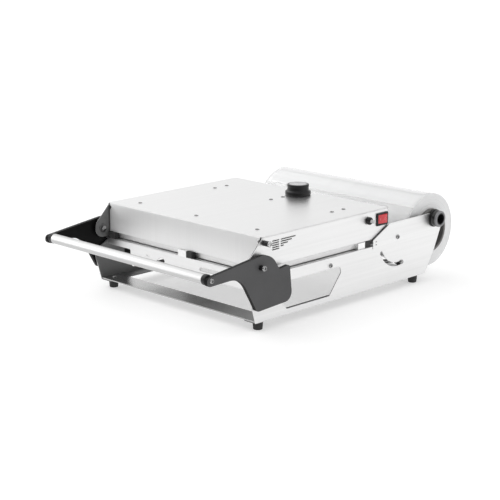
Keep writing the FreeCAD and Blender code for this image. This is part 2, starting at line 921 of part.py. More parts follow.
flange_half_x = frame_half_x + S.frame_lap
flange_half_y = frame_half_y + S.frame_lap
frame_low = deck_low - S.frame_flange
tray_frame = pad(
    new_body("TrayFrame"),
    "XY_Plane",
    frame_low,
    S.frame_flange,
    rectangle((-flange_half_x, S.well_y - flange_half_y), (flange_half_x, S.well_y + flange_half_y),
              S.frame_round),
)


def well_loop(offset, corner):
    """A rounded rectangle that follows the tray well at an offset."""
    half_x = S.well_width / 2 + offset
    half_y = S.well_depth / 2 + offset
    return rectangle((-half_x, S.well_y - half_y), (half_x, S.well_y + half_y), corner)


def ring_around(offset, width, corner):
    """Two loops with a strip of the given width between them."""
    return well_loop(offset + width, corner + offset + width), well_loop(offset, corner + offset)


frame_face = well_loop(S.frame_margin - S.running_gap, S.deck_round)
pad(tray_frame, "XY_Plane", deck_low, S.deck_sheet, frame_face)
pocket(tray_frame, "XY_Plane", frame_low, S.frame_flange + S.deck_sheet, well_loop(ZERO, S.well_round))
groove_floor = S.deck_height - S.gasket_groove
gasket_ring = ring_around(S.gasket_offset, S.gasket_width, S.well_round)
pocket(tray_frame, "XY_Plane", groove_floor, S.gasket_groove, *gasket_ring)
knife_near = S.knife_offset - S.knife_groove_width / 2
knife_ring = (
    well_loop(knife_near + S.knife_groove_width, 2.0),
    well_loop(knife_near, 1.0),
)
pocket(tray_frame, "XY_Plane", S.deck_height - S.knife_groove_depth, S.knife_groove_depth, *knife_ring)
node("tray_frame", tray_frame)

gasket = pad(new_body("Gasket"), "XY_Plane", groove_floor, S.gasket_height, *gasket_ring)
node("seal_gasket", gasket)

# Stop blocks and rubber buffers that the closed head comes down on

stop_top = S.head_bottom - S.free_gap
stop_level = (S.deck_height, stop_top)
front_stop_y = (S.deck_front_y, S.head_front_y + S.stop_reach)
front_stop_end = S.front_stop_x + S.front_stop_length
side_stop_end = S.side_stop_y + S.side_stop_length
steel_stops = [box("FrontStop", (S.front_stop_x, front_stop_end), front_stop_y, stop_level)]
pads = [box("FrontPad", (front_stop_end, front_stop_end + S.front_pad_length), front_stop_y, stop_level)]
for side in (LEFT, RIGHT):
    x_range = side_span(side, pan_half + S.free_gap, wall_inside - S.free_gap * 3)
    steel_stops.append(box("SideStop", x_range, (S.side_stop_y, side_stop_end), stop_level))
    pads.append(box("SidePad", x_range, (side_stop_end, side_stop_end + S.side_pad_length), stop_level))
    x_range = side_span(side, corner_pad_x, corner_pad_x + S.corner_pad_length)
    pads.append(box("CornerPad", x_range, front_stop_y, stop_level))
node("stop_blocks", group("StopBlocks", *steel_stops))
node("buffer_pads", group("BufferPads", *pads))

# Hinge rod between the side plates, its screws and spacers

rod_body = cross_rod("HingeRod", S.hinge_rod_radius, (-wall_inside, wall_inside), S.hinge_y, S.hinge_height)
rod_holes = []
hinge_screws = []
for side in (LEFT, RIGHT):
    x_range = side_span(side, wall_inside - S.rod_screw_depth, wall_inside + 1.0)
    rod_holes.append(cross_rod("RodHole", S.hinge_rod_radius / 2, x_range, S.hinge_y, S.hinge_height))
    hinge_screws.append(
        screw("HingeScrew", S.hinge_rod_radius / 2, S.rod_screw_depth + S.wall_sheet, S.screw_head_radius,
              S.screw_head_height, (side * half_width, S.hinge_y, S.hinge_height), outward(side))
    )
node("hinge_rod", cut("HingeRodDrilled", rod_body, *rod_holes))
node("hinge_screws", group("HingeScrews", *hinge_screws))
spacers = []
for side in (LEFT, RIGHT):
    x_range = side_span(side, lever_outside + S.free_gap, wall_inside)
    spacers.append(tube("HingeSpacer", S.hinge_rod_radius + S.spacer_wall, S.hinge_rod_radius, x_range,
                        S.hinge_y, S.hinge_height))
node("hinge_spacers", group("HingeSpacers", *spacers))

# Guide roller: a loose tube on the hinge rod that turns the film under the head

node(
    "film_guide_tube",
    tube("GuideTube", S.guide_radius, S.hinge_rod_radius + S.running_gap,
         (-guide_half, guide_half), S.hinge_y, S.hinge_height),
)

# Spring anchors: studs through the side plates

spring_x = lever_inside - S.spring_radius - 0.5
anchors = []
for side in (LEFT, RIGHT):
    inner = wall_inside - spring_x + S.spring_radius
    stud = cross_rod("AnchorStud", S.anchor_radius, side_span(side, wall_inside - inner, wall_inside),
                     S.anchor_y, S.anchor_height)
    head = screw("AnchorHead", S.anchor_radius / 2, S.wall_sheet, S.screw_head_radius, S.screw_head_height,
                 (side * half_width, S.anchor_y, S.anchor_height), outward(side))
    anchors.append(fuse("Anchor", stud, head))
node("spring_anchors", group("Anchors", *anchors))

# Counterbalance springs, drawn as the envelope of their coils with a hook at each end


def spring(side):
    """One closed spring: local Z runs from the anchor to the lever's pin."""
    run_y = pin_y.number - S.anchor_y.number
    run_z = pin_height.number - S.anchor_height.number
    length = math.hypot(run_y, run_z)
    hook = S.spring_hook.number
    coil = Part.makeCylinder(S.spring_radius.number, length - 2 * hook, Vector(0, 0, hook))
    eye_radius = S.spring_pin_radius.number + S.spring_wire.number + 0.1
    pieces = []
    for centre, neck in ((0.0, eye_radius), (length, length - hook)):
        eye = Part.makeTorus(eye_radius, S.spring_wire.number, Vector(0, 0, centre), Vector(1, 0, 0))
        pieces.append(eye)
        pieces.append(Part.makeCylinder(S.spring_wire.number, hook - eye_radius, Vector(0, 0, neck)))
    feature = doc.addObject("Part::Feature", "Spring")
    feature.Shape = coil.fuse(pieces).removeSplitter()
    tilt = math.degrees(math.atan2(run_z, run_y))
    x = side * spring_x.number
    place_now = Vector(x, S.anchor_y.number, S.anchor_height.number)
    feature.Placement = Placement(place_now, Rotation(Vector(1, 0, 0), tilt - 90.0))
    return feature


node("counter_springs", group("Springs", spring(LEFT), spring(RIGHT)))

# Head: side plates with the handle's ears


def head_side_outline():
    """The head's side from the ear's round end to the rear, with the ear's slanted front edge."""
    ear_low = S.ear_height - S.ear_round
    ear_front = S.ear_y - S.ear_round
    side_top = S.head_top - S.head_sheet
    return [
        (ear_front, ear_low, S.ear_round - S.ear_flat),
        (S.head_front_y - S.ear_root_inset, ear_low, S.ear_root_round),
        (S.head_front_y + S.ear_root_run, S.head_bottom),
        (S.head_rear_y, S.head_bottom),
        (S.head_rear_y, side_top),
        (S.head_front_y, side_top),
        (S.head_front_y, S.ear_apex_height),
        (ear_front, S.ear_height + S.ear_brow, S.ear_brow_round),
    ]


def vent_slots():
    """Five rows of slots that step back towards the front, each row cut short by a slant."""
    loops = []
    short_end = S.vent_front_y + S.vent_short
    for row in range(5):
        low = S.vent_top - row * S.vent_pitch - S.vent_height / 2
        high = low + S.vent_height
        loops.append(rectangle((S.vent_front_y, low), (short_end, high)))
        if row < 4:
            end = S.vent_end_y - row * S.vent_slant
            loops.append(rectangle((short_end + S.vent_bridge, low), (end, high)))
    return loops


for side, label in SIDES:
    pivot_hole = (S.ear_y, S.ear_height, S.pivot_radius)
    stop_hole = (S.stop_y, S.stop_height, S.stop_screw_radius)
    plate = side_plate("HeadSide", side, head_inside, head_half, head_side_outline(),
                       holes=[pivot_hole, stop_hole] if side == RIGHT else [pivot_hole])
    low, high = side_span(side, head_inside, head_half)
    pocket(plate, "YZ_Plane", low, high - low, *vent_slots())
    if side == RIGHT:
        half_length = S.switch_length / 2 - S.switch_rim
        half_height = S.switch_width / 2 - S.switch_rim
        opening = rectangle((S.switch_y - half_length, S.switch_height - half_height),
                            (S.switch_y + half_length, S.switch_height + half_height))
        stem = (S.lamp_y, S.lamp_height, S.lamp_stem_radius)
        pocket(plate, "YZ_Plane", low, high - low, opening, holes=[stem])
    else:
        thread = (S.gland_y, S.gland_height, S.gland_thread_radius)
        pocket(plate, "YZ_Plane", low, high - low, holes=[thread])
    low, high = side_span(side, pan_half, head_inside + S.head_sheet)
    lip = rectangle((low, S.head_front_y + S.pan_front_gap), (high, S.head_rear_y - S.pan_rear_gap))
    pad(plate, "XY_Plane", S.head_bottom, S.head_sheet, lip)
    node(f"head_side_{label}", plate)

# Head: folded cover with the front panel, and the rear panel

cover_under = S.head_top - S.head_sheet
front_half = head_inside - S.front_relief
cover = pad(
    new_body("Cover"),
    "YZ_Plane",
    -front_half,
    2 * front_half,
    [
        (S.head_front_y, S.head_bottom),
        (S.head_front_y + S.pan_front_gap, S.head_bottom),
        (S.head_front_y + S.pan_front_gap, S.head_bottom + S.head_sheet),
        (S.head_front_y + S.head_sheet, S.head_bottom + S.head_sheet),
        (S.head_front_y + S.head_sheet, cover_under, S.head_bend - S.head_sheet),
        (S.head_rear_y, cover_under),
        (S.head_rear_y, S.head_top),
        (S.head_front_y, S.head_top, S.head_bend),
    ],
)
for side in (LEFT, RIGHT):
    low, high = side_span(side, front_half - 1.0, head_half)
    strip = rectangle((low, S.head_front_y + S.head_bend), (high, S.head_rear_y))
    pad(cover, "XY_Plane", cover_under, S.head_sheet, strip)
for side in (LEFT, RIGHT):
    notch_top = cover_under - S.head_bend
    corner_notch = [
        (side * front_half, notch_top),
        (side * (front_half - S.corner_notch_width), notch_top - S.corner_notch_peak),
        (side * front_half, notch_top - S.corner_notch_height),
    ]
    pocket(cover, "XZ_Plane", -(S.head_front_y + S.head_sheet), S.head_sheet, corner_notch)
stud_spots = [(x, y) for x in (-S.stud_side_x, ZERO, S.stud_side_x)
              for y in (S.stud_front_y, S.stud_middle_y, S.stud_rear_y)]
pocket(cover, "XY_Plane", cover_under, S.head_sheet,
       holes=[(x, y, S.stud_radius) for x, y in stud_spots] + [(S.knob_x, S.knob_y, S.shaft_radius + 1.0)])
node("top_cover", cover)

notch_high = S.head_bottom + S.rear_notch
rear_half = head_inside
rear_panel = pad(
    new_body("RearPanel"),
    "XZ_Plane",
    -S.head_rear_y,
    S.head_sheet,
    [
        (-lever_inside + 1.0, S.head_bottom),
        (lever_inside - 1.0, S.head_bottom),
        (lever_inside - 1.0, notch_high),
        (rear_half, notch_high),
        (rear_half, cover_under),
        (-rear_half, cover_under),
        (-rear_half, notch_high),
        (-lever_inside + 1.0, notch_high),
    ],
)
pad(rear_panel, "XY_Plane", S.head_bottom, S.head_sheet,
    rectangle((-lever_inside + 1.0, S.head_rear_y - S.pan_rear_gap), (lever_inside - 1.0, S.head_rear_y)))
node("rear_panel", rear_panel)

# Head: inner pan, open at the top, with a window for the sealing plate and its knives

pan_front = S.head_front_y + S.pan_front_gap
pan_rear = S.head_rear_y - S.pan_rear_gap
pan_well_x = S.well_width / 2 + S.pan_window
pan_well_y = S.well_depth / 2 + S.pan_window
pan = pad(
    new_body("Pan"),
    "XY_Plane",
    S.pan_bottom,
    S.pan_top - S.pan_bottom,
    rectangle((-pan_half, pan_front), (pan_half, pan_rear)),
)
inner = rectangle((-pan_half + S.head_sheet, pan_front + S.head_sheet),
                  (pan_half - S.head_sheet, pan_rear - S.head_sheet))
pocket(pan, "XY_Plane", S.pan_bottom + S.head_sheet, S.pan_top - S.pan_bottom, inner)
pocket(pan, "XY_Plane", S.pan_bottom, S.head_sheet,
       rectangle((-pan_well_x, S.well_y - pan_well_y), (pan_well_x, S.well_y + pan_well_y)))
node("inner_pan", pan)

# Head: sealing plate, heating element, blanket, knives and hanger studs

plate_low = S.deck_height - S.gasket_groove + S.gasket_height + S.free_gap
plate_top = plate_low + S.plate_thickness
plate_half_x = S.well_width / 2 + S.plate_margin
plate_half_y = S.well_depth / 2 + S.plate_margin
hot_plate = pad(
    new_body("HotPlate"),
    "XY_Plane",
    plate_low,
    S.plate_thickness,
    rectangle(
        (-plate_half_x, S.well_y - plate_half_y),
        (plate_half_x, S.well_y + plate_half_y),
        S.plate_round,
    ),
)
node("heating_plate", hot_plate)


def element_path():
    """A hairpin of heater tube: two long runs joined by a half turn, with the ends turned back."""
    level = plate_top.number + S.element_radius.number
    bend = S.element_bend.number
    reach = plate_half_x.number - 30.0 - bend
    lower = S.well_y.number - bend
    upper = S.well_y.number + bend
    end = -reach - bend
    first = Part.LineSegment(Vector(end, lower, level), Vector(reach, lower, level))
    turn = Part.Arc(Vector(reach, lower, level), Vector(reach + bend, S.well_y.number, level),
                    Vector(reach, upper, level))
    second = Part.LineSegment(Vector(reach, upper, level), Vector(end, upper, level))
    return Part.Wire([edge.toShape() for edge in (first, turn, second)])


def heater(offset):
    """One hairpin element swept from its path and moved back or forth on the plate."""
    path = element_path()
    start = path.Vertexes[0].Point
    ring = Part.Wire(Part.makeCircle(S.element_radius.number, start, Vector(1, 0, 0)))
    feature = doc.addObject("Part::Feature", "Element")
    feature.Shape = path.makePipeShell([ring], True, True)
    feature.Placement = Placement(Vector(0, offset, 0), Rotation())
    return feature


element_shift = S.well_depth.number / 4
node("heating_elements", group("Elements", heater(-element_shift), heater(element_shift)))

blanket_low = plate_top + 2 * S.element_radius + S.blanket_gap
blanket_half_x = plate_half_x - (S.stud_radius + 2 * S.blanket_margin)
blanket_half_y = plate_half_y - S.blanket_margin
blanket = pad(
    new_body("Blanket"),
    "XY_Plane",
    blanket_low,
    S.blanket_thickness,
    rectangle((-blanket_half_x, S.well_y - blanket_half_y), (blanket_half_x, S.well_y + blanket_half_y)),
    holes=[(x, y, S.stud_radius + S.blanket_margin) for x, y in stud_spots if x is ZERO],
)
node("insulation_blanket", blanket)


def blade_profile(length, low):
    """A knife blade with saw teeth along its lower edge, centred on zero."""
    count = int(length.number // S.tooth_pitch.number)
    step = length / count
    corners = []
    for tooth in range(count):
        left = -length / 2 + step * tooth
        corners.append((left, low + S.tooth_depth))
        corners.append((left + step / 2, low))
    corners.append((length / 2, low + S.tooth_depth))
    corners.append((length / 2, low + S.knife_height))
    corners.append((-length / 2, low + S.knife_height))
    return corners


def blade(along_x, sign):
    """One of the four blades round the sealing plate, as an extruded polygon."""
    low = (S.deck_height - S.knife_dip).number
    half_x = S.well_width / 2 + S.knife_offset
    half_y = S.well_depth / 2 + S.knife_offset
    thick = S.knife_sheet.number
    if along_x:
        length = half_x * 2 - S.knife_sheet - 2 * S.running_gap
        points = [Vector(x.number, 0, z.number) for x, z in blade_profile(length, sized(low))]
        push = Vector(0, thick, 0)
        origin = Vector(0, S.well_y.number + sign * half_y.number - thick / 2, 0)
    else:
        length = half_y * 2 + S.knife_sheet
        points = [Vector(0, y.number, z.number) for y, z in blade_profile(length, sized(low))]
        push = Vector(thick, 0, 0)
        origin = Vector(sign * half_x.number - thick / 2, S.well_y.number, 0)
    feature = doc.addObject("Part::Feature", "Blade")
    feature.Shape = Part.Face(Part.makePolygon(points + points[:1])).extrude(push)
    feature.Placement = Placement(origin, Rotation())
    return feature


node("knife_frame", group("Knives", *(blade(along, sign) for along in (True, False) for sign in (-1, 1))))

studs = []
for x, y in stud_spots:
    length = S.head_top - plate_top
    studs.append(screw("Stud", S.stud_radius, length, S.stud_head_radius, S.stud_head_height,
                       (x, y, S.head_top), "up"))
node("hanger_studs", group("Studs", *studs))

# Head: levers that carry the hinge bushes and the spring pins


def lever_outline():
    """A bracket inside the head's side that reaches back to the hinge and down to the spring pin."""
    low = S.head_bottom + S.head_sheet
    foot_round = S.lever_foot - S.lever_foot_flat
    return [
        (S.head_rear_y - S.lever_root, low),
        (S.hinge_y - S.lever_eye - S.lever_throat, low, S.lever_throat_round),
        (S.hinge_y - S.lever_eye + S.lever_waist, S.hinge_height - S.lever_waist_drop,
         S.lever_waist_round),
        (pin_y - S.lever_foot - S.lever_foot_flat, pin_height - S.lever_foot, foot_round),
        (pin_y + S.lever_foot + S.lever_foot_flat, pin_height - S.lever_foot, foot_round),
        (S.hinge_y + S.lever_eye + S.lever_waist, S.hinge_height + S.lever_heel_rise,
         S.lever_eye - S.lever_waist),
        (S.head_rear_y + S.lever_crest, S.head_bottom + S.lever_height, S.lever_height / 2),
        (S.head_rear_y - S.lever_root, S.head_bottom + S.lever_height),
    ]


levers = []
bushes = []
spring_pins = []
for side in (LEFT, RIGHT):
    bush_radius = S.hinge_rod_radius + S.bush_wall
    levers.append(
        side_plate("Lever", side, lever_inside, lever_outside, lever_outline(),
                   holes=[(S.hinge_y, S.hinge_height, bush_radius), (pin_y, pin_height, S.spring_pin_radius)])
    )
    bore = S.hinge_rod_radius + S.running_gap
    flange_end = lever_inside - S.bush_flange
    sleeve = tube("BushSleeve", bush_radius, bore, side_span(side, flange_end, lever_outside),
                  S.hinge_y, S.hinge_height)
    flange = tube("BushFlange", bush_radius + 2.0, bore, side_span(side, flange_end, lever_inside),
                  S.hinge_y, S.hinge_height)
    bushes.append(fuse("Bush", sleeve, flange))
    pin = cross_rod("SpringPin", S.spring_pin_radius,
                    side_span(side, spring_x - S.spring_radius, half_width + S.free_gap), pin_y, pin_height)
    cap_radius = S.spring_pin_radius + 1.2
    cap = turned(
        "SpringPinHead",
        [(0, 0), (cap_radius, 0), (cap_radius, 1.4), (S.spring_pin_radius, 2.4), (0, 2.4)],
        (side * (half_width + S.free_gap), pin_y, pin_height),
        outward(side),
    )
    spring_pins.append(fuse("SpringPinWhole", pin, cap))
node("hinge_levers", group("Levers", *levers))
node("hinge_bushes", group("Bushes", *bushes))
node("spring_pins", group("SpringPins", *spring_pins))

# Handle: profiled arms, bar, end bushes and bolts

arm_outside = S.arm_inside_x + S.arm_thickness


def arm_outline():
    """The arm: a round front end, an arch under it, a hanging lobe, a toothed notch and a rounded top."""
    end_y = S.bar_y - S.arm_end_reach
    return [
        (end_y, S.bar_height - S.arm_end_low, S.arm_end_round * 1.1),
        (S.bar_y + S.arch_reach, S.bar_height - S.arch_drop, S.arch_round),
        (S.ear_y - S.lobe_front, S.ear_height - S.lobe_drop, S.lobe_rear_round / 2),
        (S.ear_y + S.lobe_rear, S.ear_height - S.lobe_rear_drop, S.lobe_rear_round),
        (S.ear_y + S.notch_y, S.ear_height - S.notch_drop, S.notch_round),
        (S.ear_y + S.heel_y, S.ear_height - S.heel_drop, S.notch_round * 0.9),
        (S.ear_y + S.crown_y, S.ear_height + S.crown_rise, S.crown_round),
        (end_y, S.bar_height + S.arm_end_high, S.arm_end_round),
    ]


arms = {}
for side, label in SIDES:
    arm = side_plate(
        "Arm", side, S.arm_inside_x, arm_outside, arm_outline(),
        holes=[
            (S.ear_y, S.ear_height, S.pivot_radius + S.running_gap),
            (S.bar_y, S.bar_height, S.bolt_radius),
        ],
    )
    node(f"handle_arm_{label}", arm)

bar_half = S.arm_inside_x - S.bar_end
node("handle_bar", tube("Bar", S.bar_radius, S.bar_radius - S.bar_wall, (-bar_half, bar_half),
                        S.bar_y, S.bar_height))
bar_bushes = []
bar_bolts = []
for side in (LEFT, RIGHT):
    profile = [
        (S.bolt_radius, 0),
        (S.bar_radius + 0.4, 0),
        (S.bar_radius + 0.4, S.bar_end, 0.8),
        (S.bar_radius - S.bar_wall, S.bar_end),
        (S.bar_radius - S.bar_wall, S.bar_end + S.plug_length),
        (S.bolt_radius, S.bar_end + S.plug_length),
    ]
    inward = outward(-side)
    bar_bushes.append(turned("BarBush", profile, (side * S.arm_inside_x, S.bar_y, S.bar_height), inward))
    bar_bolts.append(
        screw("BarBolt", S.bolt_radius, S.arm_thickness + S.bar_end + S.plug_length, S.bolt_head_radius,
              S.bolt_head_height, (side * arm_outside, S.bar_y, S.bar_height), outward(side))
    )
node("bar_end_bushes", group("BarBushes", *bar_bushes))
node("bar_bolts", group("BarBolts", *bar_bolts))

# Handle pivots on the ears: pin, washer inside, sleeves and screw head outside

pins = []
washers = []
sleeves = []
for side in (LEFT, RIGHT):
    sleeve_start = arm_outside + S.free_gap
    sleeve_end = sleeve_start + S.sleeve_length
    pin_start = head_inside - S.washer_sheet - S.pivot_nut
    pins.append(
        turned(
            "PivotPin",
            [
                (0, 0),
                (S.pivot_head - 0.5, 0),
                (S.pivot_head - 0.5, S.pivot_nut),
                (S.pivot_radius, S.pivot_nut),
                (S.pivot_radius, sleeve_end - pin_start),
                (S.pivot_head, sleeve_end - pin_start),
                (S.pivot_head, sleeve_end - pin_start + 1.2),
                (S.pivot_head * 0.6, sleeve_end - pin_start + 3.0),
                (0, sleeve_end - pin_start + 3.0),
            ],
            (side * pin_start, S.ear_y, S.ear_height),
            outward(side),
        )
    )
    washers.append(tube("Washer", S.washer_radius, S.pivot_radius,
                        side_span(side, head_inside - S.washer_sheet, head_inside), S.ear_y, S.ear_height))
    sleeves.append(tube("InnerSleeve", S.spacer_radius, S.pivot_radius,
                        side_span(side, head_half, S.arm_inside_x - S.free_gap), S.ear_y, S.ear_height))
    sleeves.append(tube("OuterSleeve", S.sleeve_radius, S.pivot_radius,
                        side_span(side, sleeve_start, sleeve_end), S.ear_y, S.ear_height))
node("ear_pivot_pins", group("PivotPins", *pins))
node("ear_washers", group("Washers", *washers))
node("ear_sleeves", group("Sleeves", *sleeves))

# The arm on the switch side comes to rest on a sleeve round a screw

node("arm_stop_sleeves", tube("StopSleeve", S.sleeve_radius, S.stop_screw_radius,
                              side_span(RIGHT, head_half, arm_outside), S.stop_y, S.stop_height))
node(
    "arm_stop_screws",
    screw("StopScrew", S.stop_screw_radius, arm_outside - head_inside, S.pivot_head, S.bolt_head_height,
          (arm_outside, S.stop_y, S.stop_height), outward(RIGHT)),
)

# Thermostat: body under the cover, shaft, knob and its disc

thermostat_top = cover_under
node(
    "thermostat_body",
    cut(
        "ThermostatBored",
        rod("Thermostat", S.thermostat_radius, S.thermostat_depth,
            (S.knob_x, S.knob_y, thermostat_top - S.thermostat_depth)),
        rod("ThermostatBore", S.shaft_radius + S.running_gap, S.shaft_socket + 1.5,
            (S.knob_x, S.knob_y, thermostat_top - S.shaft_socket - 0.5)),
    ),
)
shaft_start = thermostat_top - S.shaft_socket
knob_start = S.head_top + S.knob_lift
shaft_end = knob_start + S.shaft_grip
shaft = rod("Shaft", S.shaft_radius, shaft_end - shaft_start, (S.knob_x, S.knob_y, shaft_start))
node("thermostat_shaft", shaft)
disc_depth = S.knob_disc_depth
knob_profile = [
    (S.shaft_radius, 0),
    (S.knob_skirt_radius, 0, 1.0),
    (S.knob_skirt_radius, S.knob_skirt_height, 1.5),
    (S.knob_grip_radius, S.knob_skirt_height, 0.8),
    (S.knob_grip_radius, S.knob_height, 2.0),
    (S.knob_disc_radius, S.knob_height),
    (S.knob_disc_radius, S.knob_height - disc_depth),
    (0, S.knob_height - disc_depth),
    (0, shaft_end - knob_start),
    (S.shaft_radius, shaft_end - knob_start),
]
node("thermostat_knob", turned("Knob", knob_profile, (S.knob_x, S.knob_y, knob_start)))
disc_profile = [
    (0, 0),
    (S.knob_disc_radius, 0),
    (S.knob_disc_radius, disc_depth),
    (S.knob_disc_radius - 2 * S.knob_disc_crown, disc_depth + S.knob_disc_crown),
    (0, disc_depth + S.knob_disc_crown),
]
disc_start = (S.knob_x, S.knob_y, knob_start + S.knob_height - disc_depth)
node("knob_disc", turned("KnobDisc", disc_profile, disc_start))

# Mains switch: frame through the head's right side, and its rocker

rim = S.switch_rim
edge = rim + S.switch_wall
switch_half = S.switch_length / 2
switch_half_z = S.switch_width / 2
switch_face = head_half + S.switch_stand
bezel = box("SwitchBezel", (head_half, switch_face), (S.switch_y - switch_half, S.switch_y + switch_half),
            (S.switch_height - switch_half_z, S.switch_height + switch_half_z))
housing = box(
    "SwitchHousing",
    (head_half - S.switch_depth, head_half),
    (S.switch_y - switch_half + rim, S.switch_y + switch_half - rim),
    (S.switch_height - switch_half_z + rim, S.switch_height + switch_half_z - rim),
)
hollow = box(
    "SwitchHollow",
    (head_half - S.switch_depth + S.switch_floor, switch_face + 1.0),
    (S.switch_y - switch_half + edge, S.switch_y + switch_half - edge),
    (S.switch_height - switch_half_z + edge, S.switch_height + switch_half_z - edge),
)
node("switch_frame", cut("SwitchFrame", fuse("SwitchOuter", bezel, housing), hollow))


def rocker():
    """The rocker, pressed in at its front end: two flats that meet at a shallow crease over its pivot."""
    reach = switch_half.number - edge.number - S.free_gap.number - 0.4
    half_z = switch_half_z.number - edge.number - S.free_gap.number
    pivot_x = switch_face.number - S.rocker_pivot_depth.number
    back = -S.rocker_back.number
    tilt = math.radians(S.rocker_tilt.number)
    crease = S.rocker_reach.number
    drop = reach * math.tan(tilt)
    rise = crease - drop
    points = [
        Vector(back, -reach + 3.0, 0),
        Vector(back, reach - 3.0, 0),
        Vector(rise, reach, 0),
        Vector(crease, 0, 0),
        Vector(rise, -reach, 0),
    ]
    face = Part.Face(Part.makePolygon(points + points[:1]))
    solid = face.extrude(Vector(0, 0, 2 * half_z))
    solid.translate(Vector(0, 0, -half_z))
    round_ends = Part.makeCylinder(reach, 2 * half_z, Vector(0, 0, -half_z))
    solid = solid.common(round_ends)
    feature = doc.addObject("Part::Feature", "Rocker")
    feature.Shape = solid
    turn = Rotation(Vector(0, 0, 1), -S.rocker_tilt.number)
    feature.Placement = Placement(Vector(pivot_x, S.switch_y.number, S.switch_height.number), turn)
    return feature


node("switch_rocker", rocker())

# Pilot lamp beside the switch, and the cable gland on the other side

lamp_profile = [
    (0, -S.lamp_stem_length),
    (S.lamp_stem_radius, -S.lamp_stem_length),
    (S.lamp_stem_radius, 0),
    (S.lamp_radius, 0),
    (S.lamp_radius, S.lamp_length * 0.6, 2.0),
    (S.lamp_radius * 0.7, S.lamp_length),
    (S.lens_radius, S.lamp_length),
    (S.lens_radius, S.lamp_length - S.lens_seat),
    (0, S.lamp_length - S.lens_seat),
]
node("lamp_collar", turned("LampCollar", lamp_profile, (head_half, S.lamp_y, S.lamp_height), "right"))
lens_profile = [
    (0, 0),
    (S.lens_radius, 0),
    (S.lens_radius, S.lens_length + 1.0),
    (S.lens_radius * 0.6, S.lens_length + 3.0),
    (0, S.lens_length + 3.0),
]
lens_start = head_half + S.lamp_length - S.lens_seat
node("lamp_lens", turned("LampLens", lens_profile, (lens_start, S.lamp_y, S.lamp_height), "right"))
gland_profile = [
    (S.gland_bore, -S.gland_thread_length),
    (S.gland_thread_radius, -S.gland_thread_length),
    (S.gland_thread_radius, 0),
    (S.gland_radius, 0),
    (S.gland_radius, S.gland_length * 0.4),
    (S.gland_radius - S.gland_step, S.gland_length * 0.45),
    (S.gland_radius - S.gland_step, S.gland_length * 0.8),
    (S.gland_radius - S.gland_taper, S.gland_length),
    (S.gland_bore, S.gland_length),
]
node("cable_gland", turned("Gland", gland_profile, (-head_half, S.gland_y, S.gland_height), "left"))

# Film roll on its core, hung on the spindle; bearings and end collars

bearings = []
collars = []
for side in (LEFT, RIGHT):
    bore = S.spindle_radius + S.running_gap
    sleeve = tube("BearingSleeve", bearing_radius, bore, side_span(side, wall_inside, half_width),
                  S.spindle_y, S.spindle_height)
    flange = tube("BearingFlange", S.bearing_flange_radius, bore,
                  side_span(side, half_width, half_width + S.bearing_flange), S.spindle_y, S.spindle_height)
    bearings.append(fuse("Bearing", sleeve, flange))
    collar_start = S.bearing_flange + S.free_gap
    profile = [
        (S.spindle_radius, collar_start),
        (S.collar_radius, collar_start, 1.0),
        (S.collar_radius, S.spindle_reach, 2.0),
        (S.spindle_radius, S.spindle_reach),
    ]
    face = (side * half_width, S.spindle_y, S.spindle_height)
    collars.append(turned("Collar", profile, face, outward(side)))
node("spindle_bearings", group("Bearings", *bearings))
spindle_half = half_width + S.spindle_reach
node("spindle_tube", tube("Spindle", S.spindle_radius, S.spindle_bore, (-spindle_half, spindle_half),
                          S.spindle_y, S.spindle_height))
node("spindle_collars", group("Collars", *collars))
node("film_core", tube("Core", core_outside, S.core_bore, (-core_half, core_half), S.spindle_y,
                       roll_height))
node("film_roll", tube("Roll", S.roll_radius, core_outside, (-film_half, film_half), S.spindle_y,
                       roll_height))

# Film web: from the roll, under the guide roller and onto the deck


def ribbon_side(points, offset):
    """A path of (y, z) points moved sideways by the offset, each corner along its bisector."""
    path = [Vector(0, y, z) for y, z in points]
    runs = [(stop - start).normalize() for start, stop in zip(path, path[1:])]
    moved = []
    for index, point in enumerate(path):
        before = runs[max(index - 1, 0)]
        after = runs[min(index, len(runs) - 1)]
        normal = Vector(1, 0, 0).cross(before + after).normalize()
        moved.append(point + normal * (offset / normal.dot(Vector(1, 0, 0).cross(after))))
    return moved


def film_web():
    """The web leaves the top of the roll, passes under the guide roller and lies on the deck."""
    sheet_gap = S.free_gap.number
    thick = S.film_sheet.number
    roll_reach = S.roll_radius.number + sheet_gap + thick / 2
    guide_reach = S.guide_radius.number + sheet_gap + thick / 2
    away_y = S.hinge_y.number - S.spindle_y.number
    away_z = S.hinge_height.number - roll_height.number
    distance = math.hypot(away_y, away_z)
    lean = math.atan2(away_z, away_y) - math.acos((roll_reach + guide_reach) / distance)
    leave_y = S.spindle_y.number + roll_reach * math.cos(lean)
    leave = (leave_y, roll_height.number + roll_reach * math.sin(lean))
    meet_angle = lean + math.pi
    bottom_angle = 1.5 * math.pi - math.radians(14.0)
    points = [leave]
    steps = 4
    for step in range(steps + 1):
        angle = meet_angle + (bottom_angle - meet_angle) * step / steps
        points.append((S.hinge_y.number + guide_reach * math.cos(angle),
                       S.hinge_height.number + guide_reach * math.sin(angle)))
    deck_edge = S.deck_height.number + sheet_gap + thick / 2
    points.append((S.deck_rear_y.number + 3.0, deck_edge))
    points.append((S.film_end_y.number, deck_edge))
    edge = ribbon_side(points, thick / 2) + ribbon_side(points, -thick / 2)[::-1]
    face = Part.Face(Part.makePolygon(edge + edge[:1]))
    feature = doc.addObject("Part::Feature", "FilmWeb")
    feature.Shape = face.extrude(Vector(2 * film_half.number, 0, 0))
    feature.Placement = Placement(Vector(-film_half.number, 0, 0), Rotation())
    return feature


node("film_web", film_web())

# Check every object and every sub-part, then write one file for each

